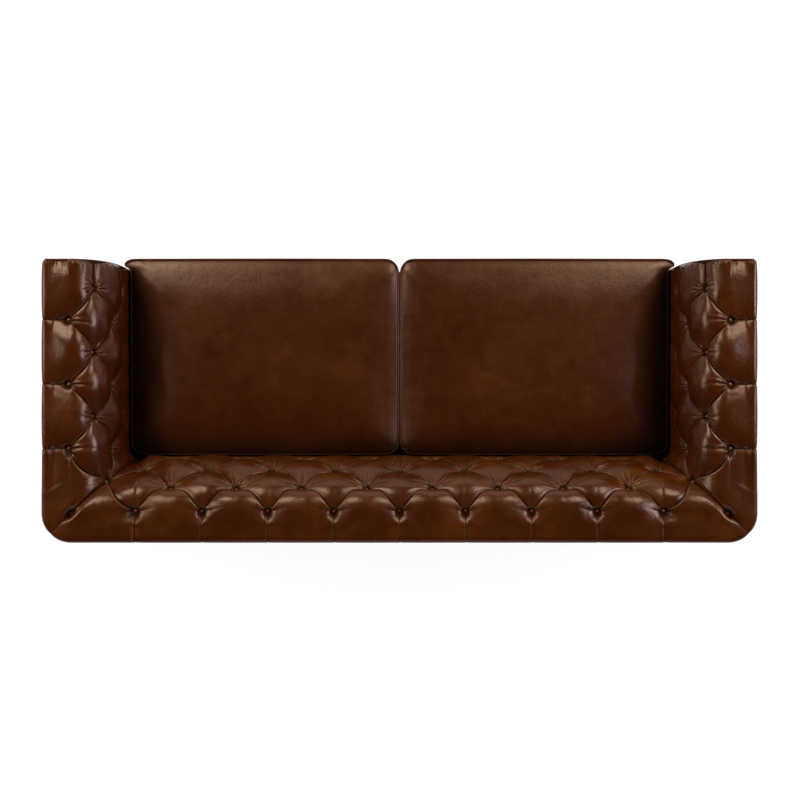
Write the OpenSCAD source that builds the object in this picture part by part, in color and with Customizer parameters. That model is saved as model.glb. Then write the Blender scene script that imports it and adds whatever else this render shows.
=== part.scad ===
// Two-seat leather sofa with button-tufted arms and back, in millimetres.
// The floor is z = 0, the front faces -Y and the origin is under the middle.

/* [Overall] */
// Width over the arms
overall_w = 2290; // [2000:10:2500]
// Depth of the body, from the arm fronts to the outside back
body_d = 910; // [860:5:960]
// Height of the arms and the back
overall_h = 740; // [720:5:790]
// How far the seat cushions stand out past the arm fronts
cushion_overhang = 22; // [10:1:40]
// Height of the underside of the body
leg_h = 130; // [110:5:140]

/* [Tufted pads] */
// Width of the flat strip from the outside of an arm to its first buttons
arm_flat = 86; // [76:1:96]
// Width of the flat strip from the outside of the back to its first buttons
back_flat = 101; // [90:1:110]
// Radius of the soft outer top edge
edge_r = 16; // [12:1:20]
// Radius of the roll over the top
roll_r = 110; // [100:1:120]
// Radius of the swell on the inside of an arm
arm_swell_r = 300; // [260:5:330]
// Radius of the swell on the inside of the back
back_swell_r = 400; // [370:5:430]
// Distance between rows of buttons along the pad
row_pitch = 98; // [92:1:102]
// Depth of a button below the swell beside it
tuft_depth = 20; // [14:1:24]
// Thickness of the leather with its wadding
cover_t = 30; // [28:1:33]
// Radius of the outside rear corners
corner_r = 95; // [85:1:110]
// Distance from a rear corner to the last full column of buttons
corner_run = 301; // [290:1:310]
// Distance from an arm front to its first column of buttons
first_col = 92; // [80:1:100]
// Radius of a covered button
button_r = 10; // [8:0.5:12]
// Radius of the tufting twine
twine_r = 1; // [0.8:0.1:1.5]

/* [Seat cushions] */
// Height of the seat above the floor at the crown of a cushion
seat_h = 475; // [465:1:490]
// Height of the deck that the cushions lie on
deck_h = 306.3; // [300.3:1:309.3]
// How far the crown rises above the top seam
crown_h = 18; // [12:1:24]
// Radius of the cushion corners seen from above
cushion_corner_r = 42; // [34:1:50]
// How far the sides are drawn in between the seams
draw_in = 8; // [5:0.5:10]
// Radius of the welt cord
welt_r = 3.5; // [2.5:0.1:4]
// Gap between a cushion and its neighbours
cushion_gap = 1.5; // [1:0.1:3]
// Clearance between a cushion and the back pad
back_gap = 3; // [2:0.5:6]
// Length of the zip behind a cushion
zip_len = 700; // [600:10:760]

/* [Frame] */
// Width of the boards across the arms and the back
board_w = 130; // [122:1:134]
// Thickness of the boards
board_t = 25; // [22:1:27]
// Thickness of the base rails
rail_t = 28; // [24:1:30]
// Height of the base rails
rail_h = 150; // [140:1:154]
// Thickness of the padding above the frame
top_pad = 60; // [58:1:64]
// Height of the corner blocks
block_h = 50; // [40:1:60]
// Number of back posts between the corners
back_posts_n = 2; // [2:1:3]
// Thickness of a web strap
web_t = 1.7; // [1.4:0.1:2]
// Width of a web strap
web_w = 50; // [40:1:60]
// Number of springs under the seat
springs_n = 12; // [10:1:14]
// Thickness of the spring wire
wire_t = 3.5; // [3:0.1:4]
// Width of a spring across its bends
spring_w = 46; // [40:1:50]
// Number of bends in a spring
bends_n = 18; // [14:2:24]

/* [Covers and trim] */
// Thickness of the plain leather
leather_t = 3; // [2.5:0.1:3.5]
// Thickness of the outside boards
panel_t = 4.4; // [3:0.1:4.6]
// Thickness of the arm facings
facing_t = 13.7; // [12:0.1:14]
// Radius of the welt round an arm facing
facing_welt_r = 3; // [2.5:0.1:3.5]
// Thickness of the dust cover
dust_t = 1.5; // [1:0.1:2]

/* [Legs] */
// Radius of a leg at the top
leg_top_r = 32; // [28:1:36]
// Radius of a leg at the foot
leg_foot_r = 20; // [17:1:24]
// Distance of a leg's centre from the outer side
leg_in_x = 95; // [90:1:100]
// Distance of a front leg's centre from the arm front
leg_in_front = 92; // [85:1:98]
// Distance of a rear leg's centre from the outside back
leg_in_back = 138; // [134:1:144]
// Radius of the bolts
bolt_r = 4; // [3:0.5:5]
// Thickness of a glide
glide_t = 3; // [2:0.5:5]

/* [Hidden] */
$fn = 48;

leather = [0.24, 0.09, 0.05];
dark_leather = [0.17, 0.06, 0.035];
wood = [0.72, 0.55, 0.36];
walnut = [0.16, 0.08, 0.045];
steel = [0.62, 0.62, 0.64];
foam_yellow = [0.90, 0.82, 0.55];
wadding = [0.93, 0.93, 0.90];
black_cloth = [0.08, 0.08, 0.085];
jute = [0.66, 0.54, 0.36];

// Clearance between soft layers
ease = 0.3;
// Outer faces of the sofa
side_x = overall_w / 2;
back_y = (body_d + cushion_overhang) / 2;
front_y = back_y - body_d;
cushion_front_y = -back_y;
// Distance of the frame behind the outside covers
frame_in = leather_t + ease + panel_t + ease;
// Inside face of the frame, measured in from the outside
frame_face = frame_in + board_w;
// Front layers of webbing and hessian on that face
hessian_t = 1;
hessian_in = frame_face + ease + web_t + ease;
foam_in = hessian_in + hessian_t + ease;
frame_top = overall_h - top_pad;
board_z = frame_top - board_t;
rail_top = leg_h + rail_h;
// Where the padded covers stop, down from the top
wrap_h = 45;
wrap_t = leather_t + 1;
pad_tuck = 6.3;
pad_end_h = overall_h - deck_h + pad_tuck;
pad_front_y = front_y + facing_t + ease;
skin_top = overall_h - wrap_h - ease;

// Tuft pattern: column 0 is the middle of the back, column 9 is the mitre in a corner.
// Buttons sit where column plus row is odd.
last_col = 8;
mitre_col = 9;
arm_first_col = 3;
last_row = 5;
end_row = 6;
back_pitch = (side_x - corner_run) / last_col;
arm_pitch = (body_d - corner_run - first_col) / (last_col - arm_first_col);
arm_front_col = arm_first_col - (first_col - facing_t - ease) / arm_pitch;
back_cells = 3;
arm_cells = 4;

// A profile is walked as a list of pieces: [0, length] runs straight, [radius, degrees] turns.
wrap_run = wrap_h - edge_r;
arm_roll_turn = 62;
arm_swell_turn = 27;
back_roll_turn = 55;
back_swell_turn = 25;
back_foot = [[0, 20], [150, 10], [0, 0]];
arm_pieces = [[0, wrap_run], [edge_r, 90], [0, arm_flat - edge_r], [roll_r, arm_roll_turn],
    [arm_swell_r, arm_swell_turn], [0, 0]];
back_pieces = concat([[0, wrap_run], [edge_r, 90], [0, back_flat - edge_r],
    [roll_r, back_roll_turn], [back_swell_r, back_swell_turn]], back_foot);

function piece_len(g) = g[0] == 0 ? g[1] : g[0] * g[1] * PI / 180;
function piece_end(g, u, p) = let (a = p[2] + (g[0] == 0 ? 0 : u / g[0] * 180 / PI))
    g[0] == 0
    ? [p[0] + u * cos(p[2]), p[1] + u * sin(p[2]), a]
    : [p[0] + g[0] * (sin(a) - sin(p[2])), p[1] + g[0] * (cos(p[2]) - cos(a)), a];
// Point of a profile at distance s: [in from the outside, down from the top, slope]
function walk(pieces, s, i = 0, p = [0, wrap_h, -90]) =
    i == len(pieces) - 1 || s <= piece_len(pieces[i])
    ? piece_end(pieces[i], s, p)
    : walk(pieces, s - piece_len(pieces[i]), i + 1, piece_end(pieces[i], piece_len(pieces[i]), p));
function total(pieces, i = 0) =
    i == len(pieces) ? 0 : piece_len(pieces[i]) + total(pieces, i + 1);
function full_len(pieces) = let (run = total(pieces), p = walk(pieces, run))
    run + (pad_end_h - p[1]) / sin(p[2]);
function row_one(flat) = wrap_run + edge_r * PI / 2 + flat - edge_r;
// Distance along the profile of row r, where row 0 is the outer edge and row 6 the lower one
function row_s(pieces, flat, r) = let (one = row_one(flat), five = one + (last_row - 1) * row_pitch)
    r < 1 ? one * r
    : r <= last_row ? one + (r - 1) * row_pitch
    : five + (r - last_row) * (full_len(pieces) - five);
function arm_profile(r) = walk(arm_pieces, row_s(arm_pieces, arm_flat, r));
function back_profile(r) = walk(back_pieces, row_s(back_pieces, back_flat, r));
function ramp(x) = let (t = min(1, max(0, x))) t * t * (3 - 2 * t);
// Both profiles blend to their mean at the mitre
function swell(is_arm, c, r) = let (
    w = 0.5 * ramp(abs(c) - last_col),
    own = is_arm ? arm_profile(r) : back_profile(r),
    other = is_arm ? back_profile(r) : arm_profile(r))
    own * (1 - w) + other * w;

// How deep the leather is drawn in, from 0 on a swell to 1 at a button
function crease(c, r) = let (a = abs(cos(90 * (c - r))), b = abs(cos(90 * (c + r))))
    1 - 0.55 * sqrt(a * b) - 0.45 * pow(max(a, b), 0.8);
function edge_fade(r) = r < 0.45 ? 0.1
    : r < 1 ? 0.1 + 0.9 * (r - 0.45) / 0.55
    : r > last_row ? end_row - r
    : 1;
function front_fade(c) = c < arm_first_col
    ? 0.5 + 0.5 * (c - arm_front_col) / (arm_first_col - arm_front_col) : 1;
function mitre_pleat(c, r) = let (v = max(0, 1 - 2 * (mitre_col - abs(c))))
    r < 1 ? v * edge_fade(r) : r <= 2 ? v * (1 - 0.4 * sin(180 * (r - 1))) : 0;
function row_depth(r) = tuft_depth * (r < 3 ? 1 : max(0.6, 1 - 0.3 * (r - 3)));
function sink(is_arm, c, r) = let (
    col = is_arm ? max(c, arm_first_col) : c,
    row = min(max(r, 1), last_row))
    row_depth(r) * max(crease(col, row) * edge_fade(r) * (is_arm ? front_fade(c) : 1),
        mitre_pleat(c, r));

// Runs along an offset of the outer line: from the last column to the mitre
function bend_len(d) = d < corner_r
    ? corner_run - corner_r + (corner_r - d) * PI / 4 : corner_run - d;
function bend(d, tau) = let (
    s = tau * bend_len(d),
    straight = corner_run - corner_r)
    d >= corner_r || s <= straight
    ? [corner_run - s, d]
    : let (a = (s - straight) / (corner_r - d) * 180 / PI)
        [corner_r - (corner_r - d) * sin(a), corner_r - (corner_r - d) * cos(a)];
function back_place(c, d, h) = let (
    q = abs(c) <= last_col
        ? [side_x - back_pitch * abs(c), d] : bend(d, abs(c) - last_col))
    [(c < 0 ? -1 : 1) * (side_x - q[0]), back_y - q[1], overall_h - h];
function arm_place(c, d, h) = let (
    q = c <= last_col ? [corner_run + (last_col - c) * arm_pitch, d] : bend(d, c - last_col))
    [side_x - q[1], back_y - q[0], overall_h - h];
function place(is_arm, c, d, h) = is_arm ? arm_place(c, d, h) : back_place(c, d, h);

// Surface of the leather, and the line under it at a given thickness
function outer_point(is_arm, c, r) = let (p = swell(is_arm, c, r), t = sink(is_arm, c, r))
    place(is_arm, c, p[0] - t * sin(p[2]), p[1] + t * cos(p[2]));
function under_dh(is_arm, c, r, t, skin) = let (p = swell(is_arm, c, r))
    p[2] < 0
    ? [skin + p[0] * (1 - skin / edge_r), max(p[1], t)]
    : [p[0] - t * sin(p[2]), p[1] + t * cos(p[2])];
function under_point(is_arm, c, r) = let (q = under_dh(is_arm, c, r, cover_t, wrap_t))
    place(is_arm, c, q[0], q[1]);
// The foam lies under the leather and reaches the frame at its base line
foam_floor = top_pad - ease;
function foam_top_dh(is_arm, c, r) = let (
    q = under_dh(is_arm, c, r, cover_t + ease, wrap_t + ease))
    [q[0], q[0] < foam_in ? min(q[1], foam_floor - 1) : q[1]];
function foam_base_dh(is_arm, c, r) = let (q = foam_top_dh(is_arm, c, r))
    q[0] < foam_in ? [q[0], foam_floor] : [foam_in, max(q[1], foam_floor)];

// Rows of points: the outer edge, the soft corner, then even steps between the rows
function row_list(cells, flat) = let (one = row_one(flat), arc = edge_r * PI / 2)
    concat(
        [0, wrap_run / one, (wrap_run + arc / 2) / one, (wrap_run + arc) / one],
        [for (k = [0:(last_row - 1) * cells]) 1 + k / cells],
        [last_row + 0.5, end_row]);
back_rows = row_list(back_cells, back_flat);
arm_rows = row_list(arm_cells, arm_flat);
back_cols = [for (k = [-mitre_col * back_cells:mitre_col * back_cells]) k / back_cells];
arm_cols = concat(
    [arm_front_col, (arm_front_col + arm_first_col) / 2],
    [for (k = [0:(mitre_col - arm_first_col) * arm_cells]) arm_first_col + k / arm_cells]);
// The underside only needs columns at the ends and round the corners
function under_cols(cols) = [for (i = [0:len(cols) - 1])
    if (i == 0 || i == len(cols) - 1 || abs(cols[i]) >= last_col) i];

// Triangles of a sheet of points with n points in each of its m columns
function sheet_faces(m, n, base, flip) = [
    for (i = [0:m - 2], j = [0:n - 2], k = [0, 1])
        let (a = base + i * n + j, b = a + n)
        k == 0 ? (flip ? [a, a + 1, b] : [a, b, a + 1])
        : (flip ? [a + 1, b + 1, b] : [a + 1, b, b + 1])];
// Triangles between one fine line of points and one coarse line
function rim_faces(fine, coarse, marks, flip) = [
    for (k = [0:len(marks) - 2])
        let (mid = floor((marks[k] + marks[k + 1]) / 2), e = [coarse[k], coarse[k + 1], fine[mid]])
        each concat([flip ? [e[0], e[2], e[1]] : e],
            [for (i = [marks[k]:marks[k + 1] - 1])
                let (e2 = [fine[i], coarse[i < mid ? k : k + 1], fine[i + 1]])
                flip ? [e2[0], e2[2], e2[1]] : e2])];

module cover_pad(is_arm) {
    cols = is_arm ? arm_cols : back_cols;
    rows = is_arm ? arm_rows : back_rows;
    marks = under_cols(cols);
    m = len(cols);
    n = len(rows);
    k = len(marks);
    points = concat(
        [for (c = cols, r = rows) outer_point(is_arm, c, r)],
        [for (i = marks, r = rows) under_point(is_arm, cols[i], r)]);
    base = m * n;
    faces = concat(
        sheet_faces(m, n, 0, false),
        sheet_faces(k, n, base, true),
        rim_faces([for (i = [0:m - 1]) i * n], [for (i = [0:k - 1]) base + i * n], marks, false),
        rim_faces([for (i = [0:m - 1]) i * n + n - 1], [for (i = [0:k - 1]) base + i * n + n - 1],
            marks, true),
        [for (j = [0:n - 2], e = [0, 1])
            e == 0 ? [j, j + 1, base + j] : [j + 1, base + j + 1, base + j]],
        [for (j = [0:n - 2], e = [0, 1])
            let (a = (m - 1) * n + j, b = base + (k - 1) * n + j)
            e == 0 ? [a, b, a + 1] : [a + 1, b, b + 1]]);
    polyhedron(points, faces, convexity = 10);
}

module foam_pad(is_arm) {
    all_cols = is_arm ? arm_cols : back_cols;
    all_rows = is_arm ? arm_rows : back_rows;
    rows = [for (j = [1:len(all_rows) - 1]) all_rows[j]];
    cols = [for (i = under_cols(all_cols)) all_cols[i]];
    m = len(cols);
    n = len(rows);
    points = concat(
        [for (c = cols, r = rows)
            let (q = foam_top_dh(is_arm, c, r)) place(is_arm, c, q[0], q[1])],
        [for (c = cols, r = rows)
            let (q = foam_base_dh(is_arm, c, r)) place(is_arm, c, q[0], q[1])]);
    base = m * n;
    end = (m - 1) * n;
    faces = concat(
        sheet_faces(m, n, 0, false),
        sheet_faces(m, n, base, true),
        [for (i = [0:m - 2], e = [0, 1])
            let (a = i * n, b = base + a) e == 0 ? [a, b, a + n] : [a + n, b, b + n]],
        [for (i = [0:m - 2], e = [0, 1])
            let (a = i * n + n - 1, b = base + a) e == 0 ? [a, a + n, b] : [a + n, b + n, b]],
        [for (j = [0:n - 2], e = [0, 1])
            e == 0 ? [j, j + 1, base + j] : [j + 1, base + j + 1, base + j]],
        [for (j = [0:n - 2], e = [0, 1])
            let (a = end + j, b = base + end + j) e == 0 ? [a, b, a + 1] : [a + 1, b, b + 1]]);
    kept = [for (f = faces)
        if (norm(points[f[0]] - points[f[1]]) > 0.001 && norm(points[f[1]] - points[f[2]]) > 0.001
            && norm(points[f[0]] - points[f[2]]) > 0.001) f];
    polyhedron(points, kept, convexity = 10);
}

module both_sides() {
    children();
    mirror([1, 0, 0]) children();
}

// Places a child whose up axis is +Z on the leather at a button
module at_button(is_arm, c, r) {
    p = swell(is_arm, c, r);
    on_mitre = abs(c) == mitre_col;
    out = is_arm ? [-sin(p[2]), 0, cos(p[2])]
        : on_mitre ? [-sign(c) * sin(p[2]) / sqrt(2), -sin(p[2]) / sqrt(2), cos(p[2])]
        : [0, -sin(p[2]), cos(p[2])];
    turn = atan2(out[1], out[0]);
    translate(outer_point(is_arm, c, r)) rotate([0, 0, turn]) rotate([0, p[2], 0]) children();
}

function back_button_list() = concat(
    [for (r = [1:last_row], c = [-last_col:last_col]) if ((abs(c) + r) % 2 == 1) [c, r]],
    [for (c = [-mitre_col, mitre_col], r = [1, 2]) [c, r]]);
function arm_button_list() =
    [for (r = [1:last_row], c = [arm_first_col:last_col]) if ((c + r) % 2 == 1) [c, r]];

button_rise = 5;
button_dome = 4;
module button() {
    rotate_extrude($fn = 24)
        polygon([[0, ease], [twine_r + 0.5, ease], [button_r, button_rise],
            [button_r * 0.8, button_rise + button_dome * 0.65],
            [button_r * 0.4, button_rise + button_dome], [0, button_rise + button_dome]]);
}
// Twine runs from a button straight down to the top rail or out through the hessian
function twine_run(is_arm, c, r) = let (
    p = swell(is_arm, c, r), t = sink(is_arm, c, r), d = p[0] - t * sin(p[2]),
    h = p[1] + t * cos(p[2]))
    r == 1 ? (top_pad - h) / cos(p[2])
    : (d - hessian_in) / sin(p[2]) * (abs(c) == mitre_col ? sqrt(2) : 1);
module twine(is_arm, c, r) {
    run = twine_run(is_arm, c, r);
    translate([0, 0, -run]) cylinder(h = run + ease, r = twine_r, $fn = 16);
}

module front_rail() {
    x = side_x - frame_face;
    color(wood) translate([-x, post_front_y, leg_h]) cube([2 * x, rail_t, rail_h]);
}
rear_rail_y = back_y - frame_in - rail_t;
module rear_rail() {
    x = side_x - corner_r;
    color(wood) translate([-x, rear_rail_y, leg_h]) cube([2 * x, rail_t, rail_h]);
}
post_front_y = pad_front_y;
post_back_y = back_y - frame_face - board_t;
corner_y = back_y - corner_r;
module side_rails() {
    color(wood) both_sides() translate([side_x - frame_in - rail_t, post_front_y + board_t, leg_h])
        cube([rail_t, corner_y - post_front_y - board_t, rail_h]);
}
front_rail_back_y = post_front_y + rail_t;
stretcher_drop = 40;
stretcher_h = rail_h - stretcher_drop;
bolt_hole_r = bolt_r + 0.2;
mid_bore_h = 60;
module seat_stretchers() {
    x1 = side_x - frame_face;
    color(wood) difference() {
        for (x = [-x1, -rail_t / 2, x1 - rail_t])
            translate([x, front_rail_back_y, leg_h])
                cube([rail_t, rear_rail_y - front_rail_back_y, stretcher_h]);
        translate([0, 0, leg_h - 1]) cylinder(h = mid_bore_h + 1, r = bolt_hole_r);
    }
}
leg_x = side_x - leg_in_x;
leg_front_y = front_y + leg_in_front;
leg_back_y = back_y - leg_in_back;
leg_spots = [for (sx = [-1, 1], y = [leg_front_y, leg_back_y]) [sx * leg_x, y]];
leg_spots_all = concat(leg_spots, [[0, 0]]);
block_in_x = side_x - frame_face;
block_out_x = side_x - frame_in - rail_t;
module corner_block(y0, y1, y_leg) {
    difference() {
        translate([block_in_x, y0, leg_h]) cube([block_out_x - block_in_x, y1 - y0, block_h]);
        translate([leg_x, y_leg, leg_h - 1]) cylinder(h = block_h + 2, r = bolt_hole_r);
    }
}
block_len = 110;
module corner_blocks() {
    color(wood) both_sides() {
        corner_block(post_front_y + board_t, post_front_y + board_t + block_len, leg_front_y);
        corner_block(corner_y - block_len, corner_y, leg_back_y);
    }
}
module arm_posts() {
    h = board_z - leg_h;
    color(wood) {
        translate([block_in_x, post_front_y, leg_h]) cube([board_w, board_t, h]);
        translate([block_in_x, post_back_y, rail_top])
            cube([board_w, board_t, board_z - rail_top]);
    }
}
module rear_corner_posts() {
    r = corner_r - frame_in;
    color(wood) both_sides() intersection() {
        translate([side_x - corner_r, corner_y, leg_h]) cylinder(h = board_z - leg_h, r = r);
        translate([side_x - corner_r, corner_y, leg_h - 1]) cube([r + 1, r + 1, overall_h]);
    }
}
// Posts stand midway between two springs
spring_x = block_in_x - spring_w;
spring_pitch = 2 * spring_x / (springs_n - 1);
post_xs = [for (k = [1:back_posts_n])
    (round(k * springs_n / (back_posts_n + 1)) - 0.5) * spring_pitch - spring_x];
module back_posts() {
    color(wood) for (x = post_xs)
        translate([x - board_t / 2, back_y - frame_face, rail_top])
            cube([board_t, board_w, board_z - rail_top]);
}
module arm_top_rail() {
    color(wood) translate([block_in_x, post_front_y, board_z])
        cube([board_w, back_y - frame_face - post_front_y, board_t]);
}
module back_top_rail() {
    r = corner_r - frame_in;
    x = side_x - corner_r;
    color(wood) translate([0, 0, board_z]) linear_extrude(board_t) union() {
        translate([-x, back_y - frame_face]) square([2 * x, board_w]);
        translate([-x - r, back_y - frame_face]) square([2 * (x + r), board_w - r]);
        for (s = [-1, 1]) translate([s * x, corner_y]) intersection() {
            circle(r);
            translate([s > 0 ? 0 : -r, 0]) square(r);
        }
    }
}
tack_z = deck_h - pad_tuck;
tack_h = 40;
module arm_tack_rails() {
    color(wood) both_sides() translate([block_in_x, post_front_y + board_t, tack_z])
        cube([rail_t, post_back_y - post_front_y - board_t, tack_h]);
}
module back_tack_rails() {
    reach = side_x - frame_in + board_t / 2;
    ends = concat([-reach], post_xs, [reach]);
    color(wood) for (k = [0:len(ends) - 2])
        translate([ends[k] + board_t / 2, back_y - frame_face, tack_z])
            cube([ends[k + 1] - ends[k] - board_t, rail_t, tack_h]);
}

// Zigzag springs lie on the front and rear rails and are held by clips
spring_y0 = post_front_y + rail_t / 2;
spring_y1 = rear_rail_y + rail_t / 2;
spring_xs = [for (k = [0:springs_n - 1]) -spring_x + k * spring_pitch];
bend_run = (spring_y1 - spring_y0) / bends_n;
// Middle line of the wire, bar by bar
spring_line = [for (k = [0:bends_n], e = [-1, 1])
    [(k % 2 == 0 ? e : -e) * spring_w / 2, spring_y0 + k * bend_run]];
function left_of(v) = [-v[1], v[0]] / norm(v);
// Sideways step at point i that keeps a line's width round its corners
function side_step(path, i) = let (
    a = i == 0 ? left_of(path[1] - path[0]) : left_of(path[i] - path[i - 1]),
    b = i == len(path) - 1 ? a : left_of(path[i + 1] - path[i]))
    (a + b) / (1 + a * b);
module spring() {
    n = len(spring_line);
    polygon(concat(
        [for (i = [0:n - 1]) spring_line[i] + side_step(spring_line, i) * wire_t / 2],
        [for (i = [n - 1:-1:0]) spring_line[i] - side_step(spring_line, i) * wire_t / 2]));
}
module seat_springs() {
    color(steel) translate([0, 0, rail_top + ease]) linear_extrude(wire_t)
        for (x = spring_xs) translate([x, 0]) spring();
}
clip_w = 14;
clip_wall = 2;
module clip() {
    d = wire_t + 2 * clip_wall + 2 * ease;
    difference() {
        translate([-clip_w / 2, -d / 2, 0]) cube([clip_w, d, wire_t + 2 * ease + clip_wall]);
        translate([-clip_w / 2 - 1, -wire_t / 2 - ease, -1])
            cube([clip_w + 2, wire_t + 2 * ease, wire_t + 2 * ease + 1]);
    }
}
module spring_clips() {
    color(steel) for (x = spring_xs, y = [spring_y0, spring_y1])
        translate([x, y, rail_top]) clip();
}
tie_r = 1.2;
tie_z = rail_top + ease + wire_t + tie_r;
module spring_tie_wires() {
    color(steel) for (k = [1:3])
        translate([-spring_x - spring_w / 2, spring_y0 + k * (spring_y1 - spring_y0) / 4, tie_z])
            rotate([0, 90, 0]) cylinder(h = 2 * spring_x + spring_w, r = tie_r, $fn = 16);
}

web_n_back = 12;
web_n_arm = 5;
web_margin = 10;
web_h = frame_top - tack_z;
module back_webbing() {
    pitch = 2 * (block_in_x - web_w) / (web_n_back - 1);
    color(jute) for (k = [0:web_n_back - 1])
        translate([-block_in_x + web_w / 2 + k * pitch, back_y - frame_face - ease - web_t, tack_z])
            cube([web_w, web_t, web_h]);
}
module arm_webbing() {
    y0 = post_front_y + web_margin;
    pitch = (back_y - foam_in - web_margin - y0 - web_w) / (web_n_arm - 1);
    color(jute) both_sides() for (k = [0:web_n_arm - 1])
        translate([side_x - frame_face - ease - web_t, y0 + k * pitch, tack_z])
            cube([web_t, web_w, web_h]);
}
module back_hessian() {
    x = side_x - foam_in - hessian_t - ease;
    color(jute) translate([-x, back_y - hessian_in - hessian_t, tack_z])
        cube([2 * x, hessian_t, web_h]);
}
module arm_hessian() {
    color(jute) both_sides() translate([side_x - hessian_in - hessian_t, pad_front_y, tack_z])
        cube([hessian_t, back_y - foam_in - pad_front_y, web_h]);
}

// A skin that follows the back and both rear corners, from in to in + t
module back_skin(in, t, z0, z1) {
    x = side_x - corner_r;
    translate([0, 0, z0]) linear_extrude(z1 - z0) union() {
        translate([-x, back_y - in - t]) square([2 * x, t]);
        for (s = [-1, 1]) translate([s * x, corner_y]) intersection() {
            difference() {
                circle(corner_r - in);
                circle(corner_r - in - t);
            }
            translate([s > 0 ? 0 : -corner_r, 0]) square(corner_r);
        }
    }
}
skin_low = leg_h + 1;
module outside_back_board() {
    color([0.55, 0.43, 0.30]) back_skin(leather_t + ease, panel_t, skin_low, frame_top);
}
module outside_arm_boards() {
    color([0.55, 0.43, 0.30]) both_sides()
        translate([side_x - leather_t - ease - panel_t, pad_front_y, skin_low])
            cube([panel_t, corner_y - ease - pad_front_y, frame_top - skin_low]);
}
module outside_back_cover() {
    color(leather) back_skin(0, leather_t, skin_low, skin_top);
}
module outside_arm_cover() {
    color(leather) translate([side_x - leather_t, pad_front_y, skin_low])
        cube([leather_t, corner_y - ease - pad_front_y, skin_top - skin_low]);
}
front_x = side_x - arm_profile(end_row)[0] - ease;
module front_rail_cover() {
    color(leather) translate([-front_x, front_y, skin_low])
        cube([2 * front_x, leather_t, deck_h - skin_low]);
}
// Deck layers fill the well between the pads
deck_x = side_x - arm_profile(end_row)[0] - 2 * ease;
deck_back_y = back_y - back_profile(end_row)[0] - 2 * ease;
deck_cloth_t = 2.7;
deck_front_y = front_y + leather_t + ease;
deck_pad_z = tie_z + tie_r + ease;
// The rear corners of the deck are cut back where the pads bend into each other
deck_nip = 0.65 * (back_profile(end_row)[0] - arm_profile(end_row)[0]);
deck_nip_len = 50;
module deck_plan() {
    polygon([[-deck_x, deck_front_y], [deck_x, deck_front_y],
        [deck_x, deck_back_y - deck_nip_len], [deck_x - deck_nip, deck_back_y],
        [deck_nip - deck_x, deck_back_y], [-deck_x, deck_back_y - deck_nip_len]]);
}
module deck_pad() {
    color(foam_yellow) translate([0, 0, deck_pad_z])
        linear_extrude(deck_h - deck_cloth_t - ease - deck_pad_z) deck_plan();
}
module deck_cloth() {
    color(black_cloth) translate([0, 0, deck_h - deck_cloth_t])
        linear_extrude(deck_cloth_t) deck_plan();
}
module front_rail_pad() {
    color(foam_yellow) translate([-deck_x, deck_front_y, skin_low])
        cube([2 * deck_x, post_front_y - ease - deck_front_y, deck_pad_z - ease - skin_low]);
}

// Outline of an arm seen from the front: [in from the outside, down from the top]
facing_in = 2 * facing_welt_r + ease;
facing_rows = [for (r = arm_rows) if (r < 1 || floor(r * 2) == r * 2) r];
function facing_dh(r, inset) = let (p = arm_profile(r))
    [p[0] - inset * sin(p[2]), p[1] + inset * cos(p[2])];
facing_line = [for (r = facing_rows) facing_dh(r, facing_in)];
module arm_facing() {
    last = facing_line[len(facing_line) - 1];
    outline = concat(
        [[facing_line[0][0], overall_h - skin_low]], facing_line,
        [[last[0], overall_h - skin_low]]);
    color(leather) translate([0, front_y + facing_t, 0]) rotate([90, 0, 0])
        linear_extrude(facing_t)
            polygon([for (p = outline) [side_x - p[0], overall_h - p[1]]]);
}
// A six-sided cord swept along a line of points, closed or open
function unit(v) = v / norm(v);
function tangent(path, i, closed) = let (n = len(path))
    closed ? unit(path[(i + 1) % n] - path[(i + n - 1) % n])
    : i == 0 ? unit(path[1] - path[0])
    : i == n - 1 ? unit(path[n - 1] - path[n - 2])
    : unit(unit(path[i + 1] - path[i]) + unit(path[i] - path[i - 1]));
module cord(path, r, up, closed) {
    n = len(path);
    sides = 6;
    points = [for (i = [0:n - 1]) let (
        t = tangent(path, i, closed), a = unit(cross(t, up)), b = cross(a, t))
        each [for (k = [0:sides - 1])
            path[i] + r * (a * cos(k * 360 / sides) + b * sin(k * 360 / sides))]];
    spans = closed ? n - 1 : n - 2;
    faces = concat(
        [for (i = [0:spans], k = [0:sides - 1], e = [0, 1]) let (
            a = i * sides + k, b = i * sides + (k + 1) % sides,
            c = ((i + 1) % n) * sides + k, d = ((i + 1) % n) * sides + (k + 1) % sides)
            e == 0 ? [a, c, b] : [b, c, d]],
        closed ? [] : [for (k = [1:sides - 2]) [0, k, k + 1]],
        closed ? [] : [for (k = [1:sides - 2])
            [(n - 1) * sides, (n - 1) * sides + k + 1, (n - 1) * sides + k]]);
    polyhedron(points, faces, convexity = 6);
}
module facing_welts() {
    y = front_y + facing_welt_r;
    line = [for (r = facing_rows) facing_dh(r, facing_welt_r)];
    last = line[len(line) - 1];
    path = concat(
        [[side_x - line[0][0], y, skin_low]],
        [for (p = line) [side_x - p[0], y, overall_h - p[1]]],
        [[side_x - last[0], y, skin_low]]);
    color(dark_leather) both_sides() cord(path, facing_welt_r, [0, -1, 0], false);
}

dust_reach = 40;
module dust_cover() {
    x = side_x - corner_r + dust_reach;
    color(black_cloth) translate([0, 0, leg_h - dust_t]) linear_extrude(dust_t) difference() {
        translate([-x, post_front_y]) square([2 * x, rear_rail_y - post_front_y]);
        for (p = leg_spots_all) translate(p) circle(bolt_hole_r);
    }
}

leg_top = leg_h - dust_t;
leg_bore_h = 55;
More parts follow.
